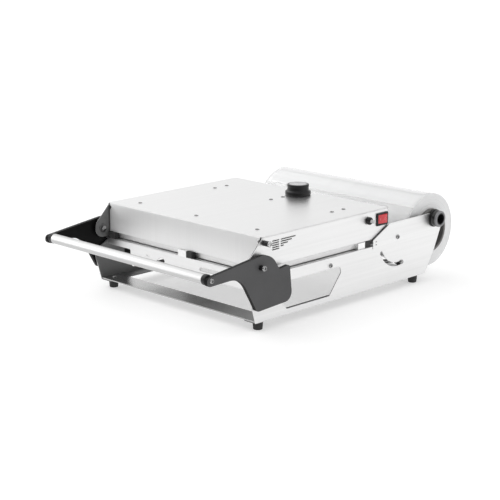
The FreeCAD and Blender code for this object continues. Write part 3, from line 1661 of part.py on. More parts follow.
doc.recompute()
for feature in doc.Objects:
    if "Invalid" in feature.State or "Error" in feature.State:
        raise RuntimeError(f"{feature.Label} did not compute: {feature.State}")
os.makedirs("parts", exist_ok=True)
whole = FreeCAD.BoundBox()
for feature in nodes:
    shape = feature.Shape
    if shape.isNull() or not shape.isValid():
        raise RuntimeError(f"{feature.Label} has no valid shape")
    if not shape.Solids:
        raise RuntimeError(f"{feature.Label} holds no solid")
    whole.add(shape.BoundBox)
    shape.exportStep(f"parts/{feature.Label}.step")
    print(f"{feature.Label}: {len(shape.Solids)} solids, {shape.Volume / 1000:.2f} cm3")
print(f"{len(nodes)} sub-parts, {whole.XLength:.2f} x {whole.YLength:.2f} x {whole.ZLength:.2f} mm")
print(f"Y from {whole.YMin:.2f} to {whole.YMax:.2f}, Z from {whole.ZMin:.2f} to {whole.ZMax:.2f}")
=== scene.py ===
# %% [markdown]
# # A tray sealing machine on a pale floor
# The machine is already built as solids, with every piece in its place.  This lesson dresses it: sheet
# steel gets its brushed grain, coated and moulded pieces get their soft edges, and the pieces that a plain
# solid can't show, such as the coil springs and the wound film, are made again as surfaces.
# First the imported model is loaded.  It stays where it is, and everything else is fitted round it.

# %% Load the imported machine
import json
import math

import bmesh
import bpy
import numpy as np
from mathutils import Matrix, Vector


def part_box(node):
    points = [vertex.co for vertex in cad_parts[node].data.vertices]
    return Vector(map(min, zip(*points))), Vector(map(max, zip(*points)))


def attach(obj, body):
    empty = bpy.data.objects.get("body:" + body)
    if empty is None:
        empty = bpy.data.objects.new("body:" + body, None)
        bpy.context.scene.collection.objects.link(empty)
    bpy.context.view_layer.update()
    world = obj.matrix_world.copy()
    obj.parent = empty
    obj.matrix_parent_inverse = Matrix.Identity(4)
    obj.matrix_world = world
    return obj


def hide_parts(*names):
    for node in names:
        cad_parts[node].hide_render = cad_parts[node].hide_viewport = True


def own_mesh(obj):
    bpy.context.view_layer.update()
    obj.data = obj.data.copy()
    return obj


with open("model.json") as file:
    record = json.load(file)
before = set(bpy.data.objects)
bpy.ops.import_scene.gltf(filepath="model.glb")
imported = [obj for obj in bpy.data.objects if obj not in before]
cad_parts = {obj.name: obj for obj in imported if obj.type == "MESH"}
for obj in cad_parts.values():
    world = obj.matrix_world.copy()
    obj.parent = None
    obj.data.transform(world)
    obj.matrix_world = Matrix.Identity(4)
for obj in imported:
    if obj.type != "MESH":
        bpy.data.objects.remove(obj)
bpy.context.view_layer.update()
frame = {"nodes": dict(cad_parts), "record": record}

# %% [markdown]
# ## The camera
# The picture was taken with a long lens from the front right, a little above the machine.  An azimuth,
# an elevation, the eye's place and the focal length say all of that.  The three axes of the camera follow
# from the two angles, so no aiming constraint is needed.

# %% Place the camera
AZIMUTH = math.radians(44.656)
ELEVATION = math.radians(14.2227)
EYE = Vector((1.87038, -1.91999, 0.75274))
FOCAL_LENGTH = 99.92


def add(name, data):
    """Puts a new object with the given data in the scene."""
    made = bpy.data.objects.new(name, data)
    bpy.context.scene.collection.objects.link(made)
    return made


camera_right = Vector((math.cos(AZIMUTH), math.sin(AZIMUTH), 0))
camera_back = Vector((
    math.sin(AZIMUTH) * math.cos(ELEVATION),
    -math.cos(AZIMUTH) * math.cos(ELEVATION),
    math.sin(ELEVATION),
))
camera_up = camera_back.cross(camera_right)
camera_data = bpy.data.cameras.new("view")
camera_data.lens = FOCAL_LENGTH
camera_data.sensor_width = 36.0
camera_data.clip_end = 60.0
camera = add("view", camera_data)
columns = (camera_right, camera_up, camera_back, EYE)
camera.matrix_world = Matrix([[column[row] for column in columns] for row in range(3)] + [[0, 0, 0, 1]])
bpy.context.scene.camera = camera
print("camera looks from azimuth", round(math.degrees(AZIMUTH), 1))

# %% [markdown]
# ## Writing shaders as sums
# A brushed sheet is a sum of a few noises, and sums read best as sums.  This class wraps one socket of a
# shader, so that plus, minus and times add the Math nodes.  Every other node comes from one method, which
# takes the node's type, its settings and what goes into its sockets.

# %% A socket that can be added and multiplied
class Value:
    """A number that varies over the surface; arithmetic on it adds Math nodes."""

    def __init__(self, shader, socket):
        self.shader = shader
        self.socket = socket

    def combine(self, operation, first, second):
        """One Math node on two numbers."""
        return self.shader.node("ShaderNodeMath", {"operation": operation}, {0: first, 1: second})

    def __add__(self, other):
        return self.combine("ADD", self, other)

    def __radd__(self, other):
        return self.combine("ADD", other, self)

    def __sub__(self, other):
        return self.combine("SUBTRACT", self, other)

    def __rsub__(self, other):
        return self.combine("SUBTRACT", other, self)

    def __mul__(self, other):
        return self.combine("MULTIPLY", self, other)

    def size(self):
        """The value without its sign."""
        return self.combine("ABSOLUTE", self, 0.0)

    def clamped(self, low, high):
        """The value mapped from one range onto nought to one, and held there."""
        values = {"Value": self, "From Min": low, "From Max": high}
        return self.shader.node("ShaderNodeMapRange", {"clamp": True}, values)

    def past(self, limit, blur=0.0002):
        """Nought below a limit and one above it, with a blur in metres between them."""
        return self.clamped(limit - blur, limit + blur)


class Shader:
    """The node tree of one finish."""

    WHERE = 3

    def __init__(self, name):
        self.material = bpy.data.materials.new(name)
        self.material.use_nodes = True
        self.tree = self.material.node_tree
        self.tree.nodes.clear()

    def node(self, kind, settings, values, output=0):
        """Adds a node: settings first, then the values or links of its sockets."""
        made = self.tree.nodes.new(kind)
        for key, value in settings.items():
            setattr(made, key, value)
        for key, value in values.items():
            if isinstance(value, Value):
                self.tree.links.new(value.socket, made.inputs[key])
            else:
                made.inputs[key].default_value = value
        return Value(self, made.outputs[output])

    def on_place(self, operation, vector, output=0):
        """A vector operation on the object coordinates in metres."""
        where = self.node("ShaderNodeTexCoord", {}, {}, self.WHERE)
        return self.node("ShaderNodeVectorMath", {"operation": operation}, {0: where, 1: vector}, output)

    def along(self, way):
        """How far the place lies along a direction."""
        return self.on_place("DOT_PRODUCT", way, 1)

    def noise(self, stretch, detail=2.0):
        """Smooth noise, with about as many spots per metre on each axis as the stretch says."""
        place = self.on_place("MULTIPLY", stretch)
        values = {"Vector": place, "Scale": 1.0, "Detail": detail, "Roughness": 0.5}
        return self.node("ShaderNodeTexNoise", {"normalize": True}, values)

    def blend(self, factor, first, second):
        """A colour between two colours."""
        return self.node("ShaderNodeMix", {"data_type": "RGBA"}, {"Factor": factor, 6: first, 7: second}, 2)

    def soft_edges(self, radius):
        """The surface's normal with its edges rounded by a radius in metres."""
        return self.node("ShaderNodeBevel", {"samples": 4}, {"Radius": radius})

    def bump(self, height, strength, distance, normal=None):
        """A normal tilted by a height; strength is a share and distance is in metres."""
        values = {"Height": height, "Strength": strength, "Distance": distance}
        if normal is not None:
            values["Normal"] = normal
        return self.node("ShaderNodeBump", {}, values)

    def end(self, surface, kind):
        """Leads a surface into the output node of the given kind."""
        output = self.tree.nodes.new(kind)
        self.tree.links.new(surface.socket, output.inputs["Surface"])

    def finish(self, **sockets):
        """Ends the tree in a Principled shader with the given sockets."""
        values = {key.replace("_", " "): value for key, value in sockets.items()}
        self.end(self.node("ShaderNodeBsdfPrincipled", {}, values), "ShaderNodeOutputMaterial")
        return self.material


def grey(level):
    """A neutral colour."""
    return (level, level, level, 1.0)


def shade(colour, factor):
    """A colour times a factor, with no part above one."""
    return tuple(min(1.0, part * factor) for part in colour) + (1.0,)


print("shader helpers are ready")

# %% [markdown]
# ## Sheet steel
# The covers and side plates are stainless sheet with a fine ground grain.  The grain is noise that is
# stretched a long way one way, and it changes the roughness and the height a very little.  A second,
# wider noise gives the slow bands that show on a large sheet.  Each sheet has its own grain direction.
# The side plates and the head's sides show their mill side inwards, which is duller, and their inner faces
# are painted darker as shade.  The head's front is blasted and scatters part of the light, and its upper part
# is painted a little darker as shade.  Folded sheets have a wider soft edge, for their bends.

# %% Brushed sheet steel
SHEET_GREY = 0.86
SHEET_ROUGHNESS = 0.40
SHEET_EDGE = 0.0005
WALL_EDGE = 0.0016
BEND_EDGE = 0.0025
WALL_MIDDLE = 0.2136
HEAD_SIDE_MIDDLE = 0.2102
INNER_SHADE_SHARE = 0.30
INNER_HAZE = 0.24
FRONT_DEPTH = 0.003
FRONT_BLUR = 0.0005
FRONT_SCATTER = 0.45
FRONT_HAZE = 0.12
FRONT_SHADE = 0.13
SHADE_FROM = 0.130
SHADE_TO = 0.160
GRAIN_DEPTH = 0.00012
DOWN_THE_FRONT = ((1400.0, 9.0, 9.0), (230.0, 3.0, 3.0))
ALONG_THE_SIDE = ((9.0, 9.0, 1400.0), (3.0, 3.0, 200.0))
ACROSS = ((9.0, 1400.0, 1400.0), (3.0, 200.0, 200.0))
UP_THE_PAN = ((900.0, 900.0, 9.0), (40.0, 40.0, 3.0))


def sheet_steel(name, way, level=SHEET_GREY, roughness=SHEET_ROUGHNESS, middle=None, front=None,
                edge=SHEET_EDGE):
    """Ground stainless: two stretched noises, one finer than the other, on a grey metal.

    With a middle, faces nearer to the centre plane than that are the mill side, which is duller,
    and they are painted darker as shade.
    With a front, what lies further forward than that is blasted and scatters part of the light, and
    its upper part is painted a little darker as shade.
    """
    shader = Shader(name)
    grain = shader.noise(way[0], detail=3.0)
    bands = shader.noise(way[1], detail=1.0)
    clouds = shader.noise((9.0, 9.0, 9.0), detail=1.0)
    streaks = (bands * 0.6 + grain * 0.4).clamped(0.3, 0.7)
    if front is not None:
        streaks = streaks * 0.5 + 0.25
    tone = shader.blend(streaks, grey(level * 0.955), grey(min(1.0, level * 1.02)))
    rough = roughness + (grain - 0.5) * 0.10 + (clouds - 0.5) * 0.05
    if middle is not None:
        # The mill side is duller, and its tone is also painted darker as shade.
        mill_side_and_shade = 1.0 - shader.along((1.0, 0.0, 0.0)).size().past(middle)
        tone = shader.blend(mill_side_and_shade, tone, grey(level * INNER_SHADE_SHARE))
        rough = rough + mill_side_and_shade * INNER_HAZE
    mirror = 1.0
    if front is not None:
        blasted = shader.along((0.0, -1.0, 0.0)).past(front, FRONT_BLUR)
        # The upper part of the blasted front is painted darker as shade.
        shade_high_up = shader.along((0.0, 0.0, 1.0)).clamped(SHADE_FROM, SHADE_TO)
        tone = shader.blend(blasted * shade_high_up * FRONT_SHADE, tone, grey(0.0))
        mirror = 1.0 - blasted * FRONT_SCATTER
        rough = rough + blasted * FRONT_HAZE
    normal = shader.bump(grain + bands * 0.5, 0.10, GRAIN_DEPTH, shader.soft_edges(edge))
    return shader.finish(Base_Color=tone, Metallic=mirror, Roughness=rough, Normal=normal)


cover_front = -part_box("top_cover")[0][1]
steel_front_grain = sheet_steel("steel_grain_down_the_front", DOWN_THE_FRONT, level=0.88, roughness=0.33,
                                front=cover_front - FRONT_DEPTH, edge=BEND_EDGE)
steel_side_grain = sheet_steel("steel_grain_along_the_side", ALONG_THE_SIDE)
steel_wall = sheet_steel("steel_of_the_side_plates", ALONG_THE_SIDE, level=0.83, middle=WALL_MIDDLE,
                         edge=WALL_EDGE)
steel_head_side = sheet_steel("steel_of_the_head_sides", ALONG_THE_SIDE, level=0.83,
                              middle=HEAD_SIDE_MIDDLE, edge=BEND_EDGE)
steel_inner = sheet_steel("dull_inner_steel", UP_THE_PAN, level=0.78, roughness=0.42)
steel_deck_grain = sheet_steel("steel_grain_across_the_deck", ACROSS, level=0.82, roughness=0.34,
                               edge=BEND_EDGE)
steel_strip = sheet_steel("steel_of_the_cross_strips", ACROSS, level=0.52, roughness=0.24)
print("sheet steels:", steel_front_grain.name, steel_side_grain.name, steel_deck_grain.name)

# %% [markdown]
# ## Metals in smaller pieces
# Screws and pins are turned and bright.  The bar and the guide tube are satin anodised aluminium, and the
# tray frame is milled, with faint tool marks.  They share one recipe: a colour, a roughness and a fine
# stretched noise.  Each solid has a material slot in its record, and a table says which finish a slot gets.

# %% Turned, drawn and milled metals
FINE_GRAIN = 0.0001


def small_metal(name, level, roughness, stretch, depth=0.06, tint=(1.0, 1.0, 1.0)):
    """A metal with fine marks that run the way the stretch says."""
    shader = Shader(name)
    marks = shader.noise(stretch)
    dark, light = shade(tint, level * 0.94), shade(tint, level * 1.03)
    return shader.finish(
        Base_Color=shader.blend(marks.clamped(0.3, 0.7), dark, light),
        Metallic=1.0,
        Roughness=roughness + (marks - 0.5) * 0.12,
        Normal=shader.bump(marks, depth, FINE_GRAIN, shader.soft_edges(0.0003)),
    )


steel_block = small_metal("zinc_plated_block", 0.93, 0.40, (300.0, 300.0, 300.0))
spring_wire = small_metal("drawn_spring_wire", 0.16, 0.28, (600.0, 600.0, 600.0))
head_steel = small_metal("polished_screw_head", 0.62, 0.26, (900.0, 900.0, 900.0))
SLOT_FINISH = {
    "stainless": steel_side_grain,
    "spring_steel": spring_wire,
    "bright_steel": small_metal("bright_turned_steel", 0.34, 0.22, (900.0, 900.0, 900.0)),
    "satin_aluminium": small_metal("satin_anodised_tube", 0.56, 0.34, (14.0, 1500.0, 1500.0), depth=0.05),
    "milled_aluminium": small_metal("milled_plate", 0.72, 0.32, (900.0, 60.0, 60.0), depth=0.10),
    "heater_tube": small_metal("heat_tinted_tube", 0.40, 0.40, (80.0, 700.0, 700.0),
                               tint=(1.0, 0.93, 0.86)),
}
print("small metals are ready")

# %% [markdown]
# ## Powder coat, mouldings and rubber
# The arms have a matt powder coat with a very fine orange peel, and their inner faces and edges are painted
# black as shade.  The knob, bushes, sleeves and switch are moulded, and the feet are rubber.  All are one
# recipe again, with a grain of their own size.

# %% Coated and moulded finishes
ARM_SHADE_LIMIT = 0.2246
COLLAR_UNSHADED_FACE = 0.0035


def moulded(name, colour, roughness, grains, depth, edge=0.0004, coat=0.0, specular=0.5, unshaded_beyond=None):
    """A non-metal with a fine, even grain in its height, its tone and its roughness.

    With a limit, only what lies further out than that keeps the colour, and the rest is painted black
    as shade.
    """
    shader = Shader(name)
    grain = shader.noise((grains, grains, grains))
    slow = shader.noise((18.0, 18.0, 18.0), detail=1.0)
    mix = (grain * 0.5 + slow * 0.5).clamped(0.3, 0.7)
    tone = shader.blend(mix, shade(colour, 0.90), shade(colour, 1.10))
    if unshaded_beyond is not None:
        # Beyond the limit the colour stays; nearer in it is painted black as shade.
        face = shader.along((1.0, 0.0, 0.0)).size().past(unshaded_beyond)
        tone = shader.blend(face, grey(0.004), tone)
    return shader.finish(
        Base_Color=tone,
        Roughness=roughness + (grain - 0.5) * 0.12 + (slow - 0.5) * 0.06,
        Normal=shader.bump(grain, depth, FINE_GRAIN, shader.soft_edges(edge)),
        Coat_Weight=coat,
        Specular_IOR_Level=specular,
    )


black_moulding = moulded("black_moulding", (0.009, 0.009, 0.010), 0.30, 1100.0, 0.12, specular=0.35)
# The collars are grey only on their outer face, and the rest of them is painted black as shade.
collar_grey_and_shade = moulded("collar_grey", (0.19, 0.19, 0.20), 0.26, 900.0, 0.08, coat=0.4,
                   unshaded_beyond=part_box("spindle_collars")[1][0] - COLLAR_UNSHADED_FACE)
mark_white = moulded("switch_mark", (0.74, 0.22, 0.25), 0.35, 500.0, 0.02)
SLOT_FINISH.update({
    "black_plastic": black_moulding,
    # The arms keep their colour only on their outer faces; inner faces and edges are painted black as shade.
    "anthracite": moulded("anthracite_powder_coat", (0.092, 0.092, 0.094), 0.46, 900.0, 0.25, edge=0.0008,
                          specular=0.12, unshaded_beyond=ARM_SHADE_LIMIT),
    "grey_plastic": moulded("dark_grey_moulding", (0.085, 0.085, 0.088), 0.48, 900.0, 0.15),
    "knob_grey": moulded("knob_disc_grey", (0.42, 0.42, 0.43), 0.26, 700.0, 0.05, coat=0.4),
    "rubber": moulded("foot_rubber", (0.020, 0.020, 0.020), 0.62, 800.0, 0.3),
    "silicone": moulded("seal_silicone", (0.55, 0.20, 0.11), 0.55, 500.0, 0.2),
    "nylon": moulded("natural_nylon", (0.78, 0.76, 0.70), 0.40, 600.0, 0.1),
    "blanket": moulded("mineral_wool", (0.74, 0.72, 0.66), 0.95, 260.0, 0.9),
    "core_board": moulded("core_board", (0.16, 0.155, 0.15), 0.70, 300.0, 0.35),
    "red_plastic": moulded("switch_red", (0.60, 0.018, 0.030), 0.20, 500.0, 0.03, coat=0.5),
})
print("mouldings are ready")

# %% [markdown]
# ## Film and the clear lens
# Sealing film is clear, but wound many layers deep it turns milky.  The roll is a soft white that scatters
# a little light inside, with faint bands along its length.  The web is one thin layer, so it is mostly
# see-through.

# %% Film, wound and single
def wound_film(name):
    """A milky plastic whose tone and height follow fine bands along the roll."""
    shader = Shader(name)
    bands = shader.noise((60.0, 5.0, 5.0))
    haze = shader.noise((11.0, 11.0, 11.0))
    mix = (bands * 0.5 + haze * 0.5).clamped(0.3, 0.7)
    return shader.finish(
        Base_Color=shader.blend(mix, (0.70, 0.703, 0.707, 1.0), (0.73, 0.732, 0.735, 1.0)),
        Roughness=0.24 + (haze - 0.5) * 0.2,
        Subsurface_Weight=0.35,
        Subsurface_Radius=(0.02, 0.02, 0.02),
        Normal=shader.bump(bands, 0.06, 0.0002),
        Coat_Weight=1.0,
        Specular_IOR_Level=0.8,
    )


def single_film(name):
    """One layer of film: slightly milky, glossy, and let through by its alpha."""
    shader = Shader(name)
    ripples = shader.noise((6.0, 40.0, 40.0))
    return shader.finish(
        Base_Color=grey(0.90),
        Roughness=0.10 + ripples * 0.08,
        Alpha=0.24 + ripples * 0.12,
        Normal=shader.bump(ripples, 0.15, 0.0004),
    )


def clear_lens(name):
    """A pale, glossy, half-clear plastic."""
    shader = Shader(name)
    haze = shader.noise((400.0, 400.0, 400.0))
    return shader.finish(
        Base_Color=grey(0.72),
        Roughness=0.08 + haze * 0.05,
        Alpha=0.75 + haze * 0.05,
        Coat_Weight=0.5,
    )


web_film = single_film("single_film")
SLOT_FINISH.update({"film": wound_film("wound_film"), "clear_plastic": clear_lens("clear_lens")})
print("films are ready")

# %% [markdown]
# ## Finishes for the solids
# Each solid takes the finish of its slot, and the sheet pieces choose the grain that runs their own way.

# %% Match solids to finishes
OWN_GRAIN = {
    "side_plate_left": steel_wall,
    "side_plate_right": steel_wall,
    "head_side_left": steel_head_side,
    "head_side_right": steel_head_side,
    "inner_pan": steel_inner,
    "stop_blocks": steel_block,
    "top_cover": steel_front_grain,
    "rear_panel": steel_front_grain,
    "deck_plate": steel_deck_grain,
    "front_cross_strip": steel_strip,
    "rear_cross_strip": steel_strip,
    "film_web": web_film,
}
node_slot = {part["node"]: part["material_slot"] for part in frame["record"]["subparts"]}
for name, solid in frame["nodes"].items():
    solid.data.materials.clear()
    solid.data.materials.append(OWN_GRAIN.get(name, SLOT_FINISH[node_slot[name]]))
print(len(frame["nodes"]), "solids have a finish")

# %% [markdown]
# ## Surfaces from a grid of points
# New pieces are grids of points: a profile carried round an axis, or a ring carried along a path.  The
# grid is worked out as one array.  Rows that shrink to a point are merged, and the faces are turned
# outwards, so that a cap needs no code of its own.

# %% From a grid to a piece
MM = 0.001
TURN = 2 * math.pi


class Solid:
    """The box of a solid in mm: its corners, its middle and its radius about the X axis."""

    def __init__(self, name):
        self.low, self.high = [np.array(corner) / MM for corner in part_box(name)]
        self.middle = (self.low + self.high) / 2
        self.radius = (self.high[2] - self.low[2]) / 2

    def at(self, x):
        """The point of its axis at the given X."""
        return (x, *self.middle[1:])


def grid_faces(rows, columns, closed_rows, closed_columns):
    """Corner numbers of the quads of a grid, as an array with four columns."""
    row_count = rows if closed_rows else rows - 1
    column_count = columns if closed_columns else columns - 1
    row, column = np.meshgrid(np.arange(row_count), np.arange(column_count), indexing="ij")
    below = (row + 1) % rows
    beside = (column + 1) % columns
    corners = np.stack(
        [row * columns + column, row * columns + beside, below * columns + beside, below * columns + column],
        axis=-1,
    )
    return corners.reshape(-1, 4)


def close_up(mesh):
    """Merges the points that coincide and turns every face outwards."""
    work = bmesh.new()
    work.from_mesh(mesh)
    bmesh.ops.remove_doubles(work, verts=work.verts, dist=1e-6)
    bmesh.ops.dissolve_degenerate(work, dist=1e-7, edges=work.edges)
    bmesh.ops.recalc_face_normals(work, faces=work.faces)
    work.to_mesh(mesh)
    work.free()


def make_mesh(name, grids, finish, crease=35.0):
    """One object from grids (points, closed rows, closed columns), with its finish."""
    points = []
    faces = []
    start = 0
    for grid, closed_rows, closed_columns in grids:
        rows, columns = grid.shape[:2]
        faces.append(grid_faces(rows, columns, closed_rows, closed_columns) + start)
        points.append(grid.reshape(-1, 3))
        start += rows * columns
    mesh = bpy.data.meshes.new(name)
    mesh.from_pydata(np.concatenate(points).tolist(), [], np.concatenate(faces).tolist())
    close_up(mesh)
    mesh.shade_smooth()
    mesh.set_sharp_from_angle(angle=math.radians(crease))
    mesh.materials.append(finish)
    return add(name, mesh)


def make_piece(name, grids, body, slot, replaces=(), finish=None, crease=35.0):
    """Makes a piece, puts it on its body, and hides the solids it stands for."""
    piece = make_mesh(name, grids, finish or SLOT_FINISH[slot], crease)
    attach(piece, body)
    if replaces:
        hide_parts(*replaces)
    return piece


print("grid helpers are ready")

# %% [markdown]
# ## Turned pieces
# A screw, a bush or a knob is a profile carried round an axis.  Real turned and moulded corners are never
# sharp, and the small round on them is what catches the light, so the profile's corners are rounded first.

# %% Round a profile and carry it round an axis
AXES = {
    "right": (Vector((1, 0, 0)), Vector((0, 1, 0)), Vector((0, 0, 1))),
    "left": (Vector((-1, 0, 0)), Vector((0, 1, 0)), Vector((0, 0, -1))),
    "up": (Vector((0, 0, 1)), Vector((1, 0, 0)), Vector((0, 1, 0))),
}


def rounded(corners, steps=5):
    """A profile through corners (radius, height, round), with each corner cut by a circular arc."""
    corners = np.array([tuple(corner) + (0.0,) * (3 - len(corner)) for corner in corners], float)
    points = []
    for index, (x, y, radius) in enumerate(corners):
        here = np.array([x, y])
        if radius <= 0 or index in (0, len(corners) - 1):
            points.append(here[None])
            continue
        before = corners[index - 1, :2] - here
        after = corners[index + 1, :2] - here
        before = before / np.linalg.norm(before)
        after = after / np.linalg.norm(after)
        half = math.acos(float(np.clip(before @ after, -1, 1))) / 2
        middle = here + (before + after) / np.linalg.norm(before + after) * radius / math.sin(half)
        first = here + before * radius / math.tan(half) - middle
        last = here + after * radius / math.tan(half) - middle
        share = np.linspace(0, 1, steps)[:, None]
        spread = math.pi - 2 * half
        weight_first = np.sin((1 - share) * spread) / math.sin(spread)
        weight_last = np.sin(share * spread) / math.sin(spread)
        points.append(middle + first * weight_first + last * weight_last)
    return np.concatenate(points)


def angles(count):
    """Equal steps once round."""
    return np.linspace(0, TURN, count, endpoint=False)


def stack_rings(rows, start, way):
    """The grid of rings (reach at each angle, height) along the named way from its start, all in mm."""
    along, first, second = (np.array(axis) for axis in AXES[way])
    angle = angles(len(rows[0][0]))[:, None]
    ring = np.cos(angle) * first + np.sin(angle) * second
    grid = np.stack([np.array(start, float) + reach[:, None] * ring + level * along for reach, level in rows])
    return grid * MM, False, True


def turned(profile, start, way, sides=48):
    """The grid of a profile (radius, height) carried round the named way from its start."""
    return stack_rings([(np.full(sides, radius), height) for radius, height in profile], start, way)


SIDES = ((-1, "left"), (1, "right"))
TUBE_ROUNDS = (0.5, 0.5, 0.5)


def pair(profile, solid, sides=48):
    """The grids of a profile turned about a solid's axis, on the left side and on the right side."""
    return [turned(profile, solid.at(0), way, sides) for _, way in SIDES]


def pipe(bore, radius, low, high, near=0.4, far=0.4, mouth=0.0, lined=True):
    """The profile of a pipe from its bore, with the rounds of its outer rims and of its far mouth."""
    corners = [(bore, low), (radius, low, near), (radius, high, far), (bore, high, mouth)]
    return rounded(corners + corners[:1] if lined else corners)


print("turning helpers are ready")

# %% [markdown]
# ## Screw heads with a hexagon socket
# The bolts and pins are button heads.  The dome is a circle, and the socket is a hexagon: between them
# the radius changes from one to the other as the profile is carried round.

# %% Button-head screws
SOCKET_SHARE = 0.52
HEX_SIDES = 48
SIXTH = TURN / 6
CIRCLE = np.ones(HEX_SIDES)
HEXAGON = math.cos(SIXTH / 2) / np.cos((angles(HEX_SIDES) + SIXTH / 2) % SIXTH - SIXTH / 2)


def button_head(radius, height, start, way):
    """A dome over a circle with a hexagonal socket sunk in its top."""
    socket = radius * SOCKET_SHARE
    hexagon = socket * HEXAGON
    rows = [(radius * 0.2 * CIRCLE, -0.05), (radius * 0.96 * CIRCLE, -0.05), (radius * CIRCLE, height * 0.12)]
    for share in np.linspace(0, 1, 7):
        reach = radius - (radius - socket * 1.08) * share ** 1.3
        rows.append((reach * CIRCLE, height * (0.2 + 0.8 * math.sin(share * math.pi / 2))))
    rows += [(hexagon * 1.02, height * 0.99), (hexagon, height * 0.93), (hexagon, height * 0.30),
             (hexagon * 0.02, height * 0.18), (CIRCLE * 0.0, height * 0.18)]
    return stack_rings(rows, start, way)


def heads(screw, face):
    """The heads of a screw and its twin, each on a face that lies at the given X on its side."""
    height = screw.high[0] - face
    return [button_head(screw.radius, height, screw.at(sign * face), way) for sign, way in SIDES]


bar = Solid("handle_bar")
arm = Solid("handle_arm_right")
arm_inside, arm_outside = arm.low[0], arm.high[0]
bolt = Solid("bar_bolts")
bolt.radius = (bolt.high[1] - bolt.low[1]) / 2
make_piece("bar_bolt_heads", heads(bolt, arm_outside), "handle", "bright_steel", ["bar_bolts"])
print("arms end at", round(arm_outside, 1), "mm")

# %% [markdown]
# ## The handle bar and its end bushes
# The bar is a satin tube between the arms.  Black bushes close it at both ends, each with a rounded rim
# and a fine groove next to the arm.

# %% Bar and bushes
TUBE_WALL = 1.4
bar_profile = pipe(bar.radius - TUBE_WALL, bar.radius, bar.low[0], bar.high[0])
grip = make_piece("grip_bar", [turned(bar_profile, bar.at(0), "right", 72)], "handle", "satin_aluminium",
                  ["handle_bar"])
bush = Solid("bar_end_bushes").radius
bush_profile = rounded([
    (3.0, arm_inside), (bush - 0.5, arm_inside, 0.3), (bush - 0.5, arm_inside - 1.2, 0.2),
    (bush, arm_inside - 1.6, 0.3), (bush, bar.high[0], 1.1), (bar.radius - 1.6, bar.high[0] - 0.1),
])
make_piece("bar_bushes", pair(bush_profile, bar), "handle", "black_plastic", ["bar_end_bushes"])
print("grip:", len(grip.data.polygons), "faces, bushes are", round(arm_inside - bar.high[0], 1), "mm long")

# %% [markdown]
# ## Pivots and stops of the arms
# A pin with a button head runs through each ear, its washer, a spacer and the arm.  A second, higher
# screw on the switch side carries a black sleeve that the arm comes to rest on.

# %% Pivot pins, sleeves and stops
PIVOT_BORE = 4.0
ARM_PLAY = 0.3
WASHER_DEPTH = 1.0
NUT_DEPTH = 4.5
pin = Solid("ear_pivot_pins")
sleeve_end = Solid("ear_sleeves").high[0]
washer = Solid("ear_washers")
ear_inside = washer.high[0]
ear_outside = Solid("head_side_right").high[0]
washer_face = ear_inside - WASHER_DEPTH
nut_radius = pin.radius - 0.5
nut_profile = rounded([
    (0, ear_inside - NUT_DEPTH), (nut_radius, ear_inside - NUT_DEPTH, 0.5), (nut_radius, washer_face),
    (PIVOT_BORE, washer_face), (PIVOT_BORE, sleeve_end), (0, sleeve_end),
])
make_piece("pivot_pin_heads", heads(pin, sleeve_end) + pair(nut_profile, pin), "head", "bright_steel",
           ["ear_pivot_pins"])
outer = pipe(PIVOT_BORE, 5.0, arm_outside + ARM_PLAY, sleeve_end, far=0.6, lined=False)
spacer = pipe(PIVOT_BORE, 8.0, ear_outside, arm_inside - ARM_PLAY, lined=False)
make_piece("pivot_sleeves", pair(outer, pin) + pair(spacer, pin), "head", "black_plastic", ["ear_sleeves"])
washer_profile = pipe(PIVOT_BORE, washer.radius, washer_face, ear_inside, near=0.35, far=0.2)
make_piece("pivot_washers", pair(washer_profile, pin), "head", "bright_steel", ["ear_washers"], spring_wire)

stop = Solid("arm_stop_sleeves")
stop_screw = Solid("arm_stop_screws")
stop_profile = pipe(2.5, stop.radius, ear_outside, stop.high[0], lined=False)
make_piece("stop_sleeve", [turned(stop_profile, stop.at(0), "right")], "head", "black_plastic",
           ["arm_stop_sleeves"])
stop_head = button_head(stop_screw.radius, stop_screw.high[0] - stop.high[0], stop.at(stop.high[0]), "right")
make_piece("stop_screw_head", [stop_head], "head", "bright_steel", ["arm_stop_screws"], head_steel)
print("pivots at", np.round(pin.middle[1:], 1), "stop at", np.round(stop.middle[1:], 1))

# %% [markdown]
# ## Screws on the side plates
# Each side plate shows two screw heads: one holds the hinge rod, and one the spring's anchor.  The feet are
# held from above by a screw each.

# %% Screws of the frame
PLATE = 2.0
STUD_END = 197.5
wall_face = Solid("side_plate_right").high[0]
wall_inside = wall_face - PLATE
make_piece("hinge_screw_heads", heads(Solid("hinge_screws"), wall_face), "base", "bright_steel",
           ["hinge_screws"])
anchors = Solid("spring_anchors")
anchor_profile = rounded([(0, STUD_END), (3.0, STUD_END, 0.5), (3.0, wall_inside), (0, wall_inside)])
make_piece("anchor_studs", heads(anchors, wall_face) + pair(anchor_profile, anchors), "base", "bright_steel",
           ["spring_anchors"])

FOOT_RADIUS = 10.0
FOOT_SCREW_RADIUS = 4.6
feet = Solid("rubber_feet")
foot_height = feet.high[2]
near, far = feet.low + FOOT_RADIUS, feet.high - FOOT_RADIUS
foot_spots = [(x, y) for x in (near[0], far[0]) for y in (near[1], far[1])]
strip_face = Solid("front_cross_strip").high[2]
screw_stand = Solid("foot_screws").high[2] - strip_face
foot_heads = [button_head(FOOT_SCREW_RADIUS, screw_stand, (*spot, strip_face), "up") for spot in foot_spots]
make_piece("foot_screw_heads", foot_heads, "base", "bright_steel", ["foot_screws"])
foot_profile = rounded([
    (0, 0), (6.5, 0, 0.3), (7.0, 0.6, 0.3), (8.5, 0.0, 1.0), (FOOT_RADIUS, foot_height, 0.8),
    (0, foot_height),
])
make_piece("moulded_feet", [turned(foot_profile, (*spot, 0), "up", 40) for spot in foot_spots], "base",
           "rubber", ["rubber_feet"])
print("feet at", [(round(float(x)), round(float(y))) for x, y in foot_spots])

# %% [markdown]
# ## Thermostat knob
# The knob has a flared skirt, a neck and a plain barrel with a rounded lip, and a grey disc let into its
# top.

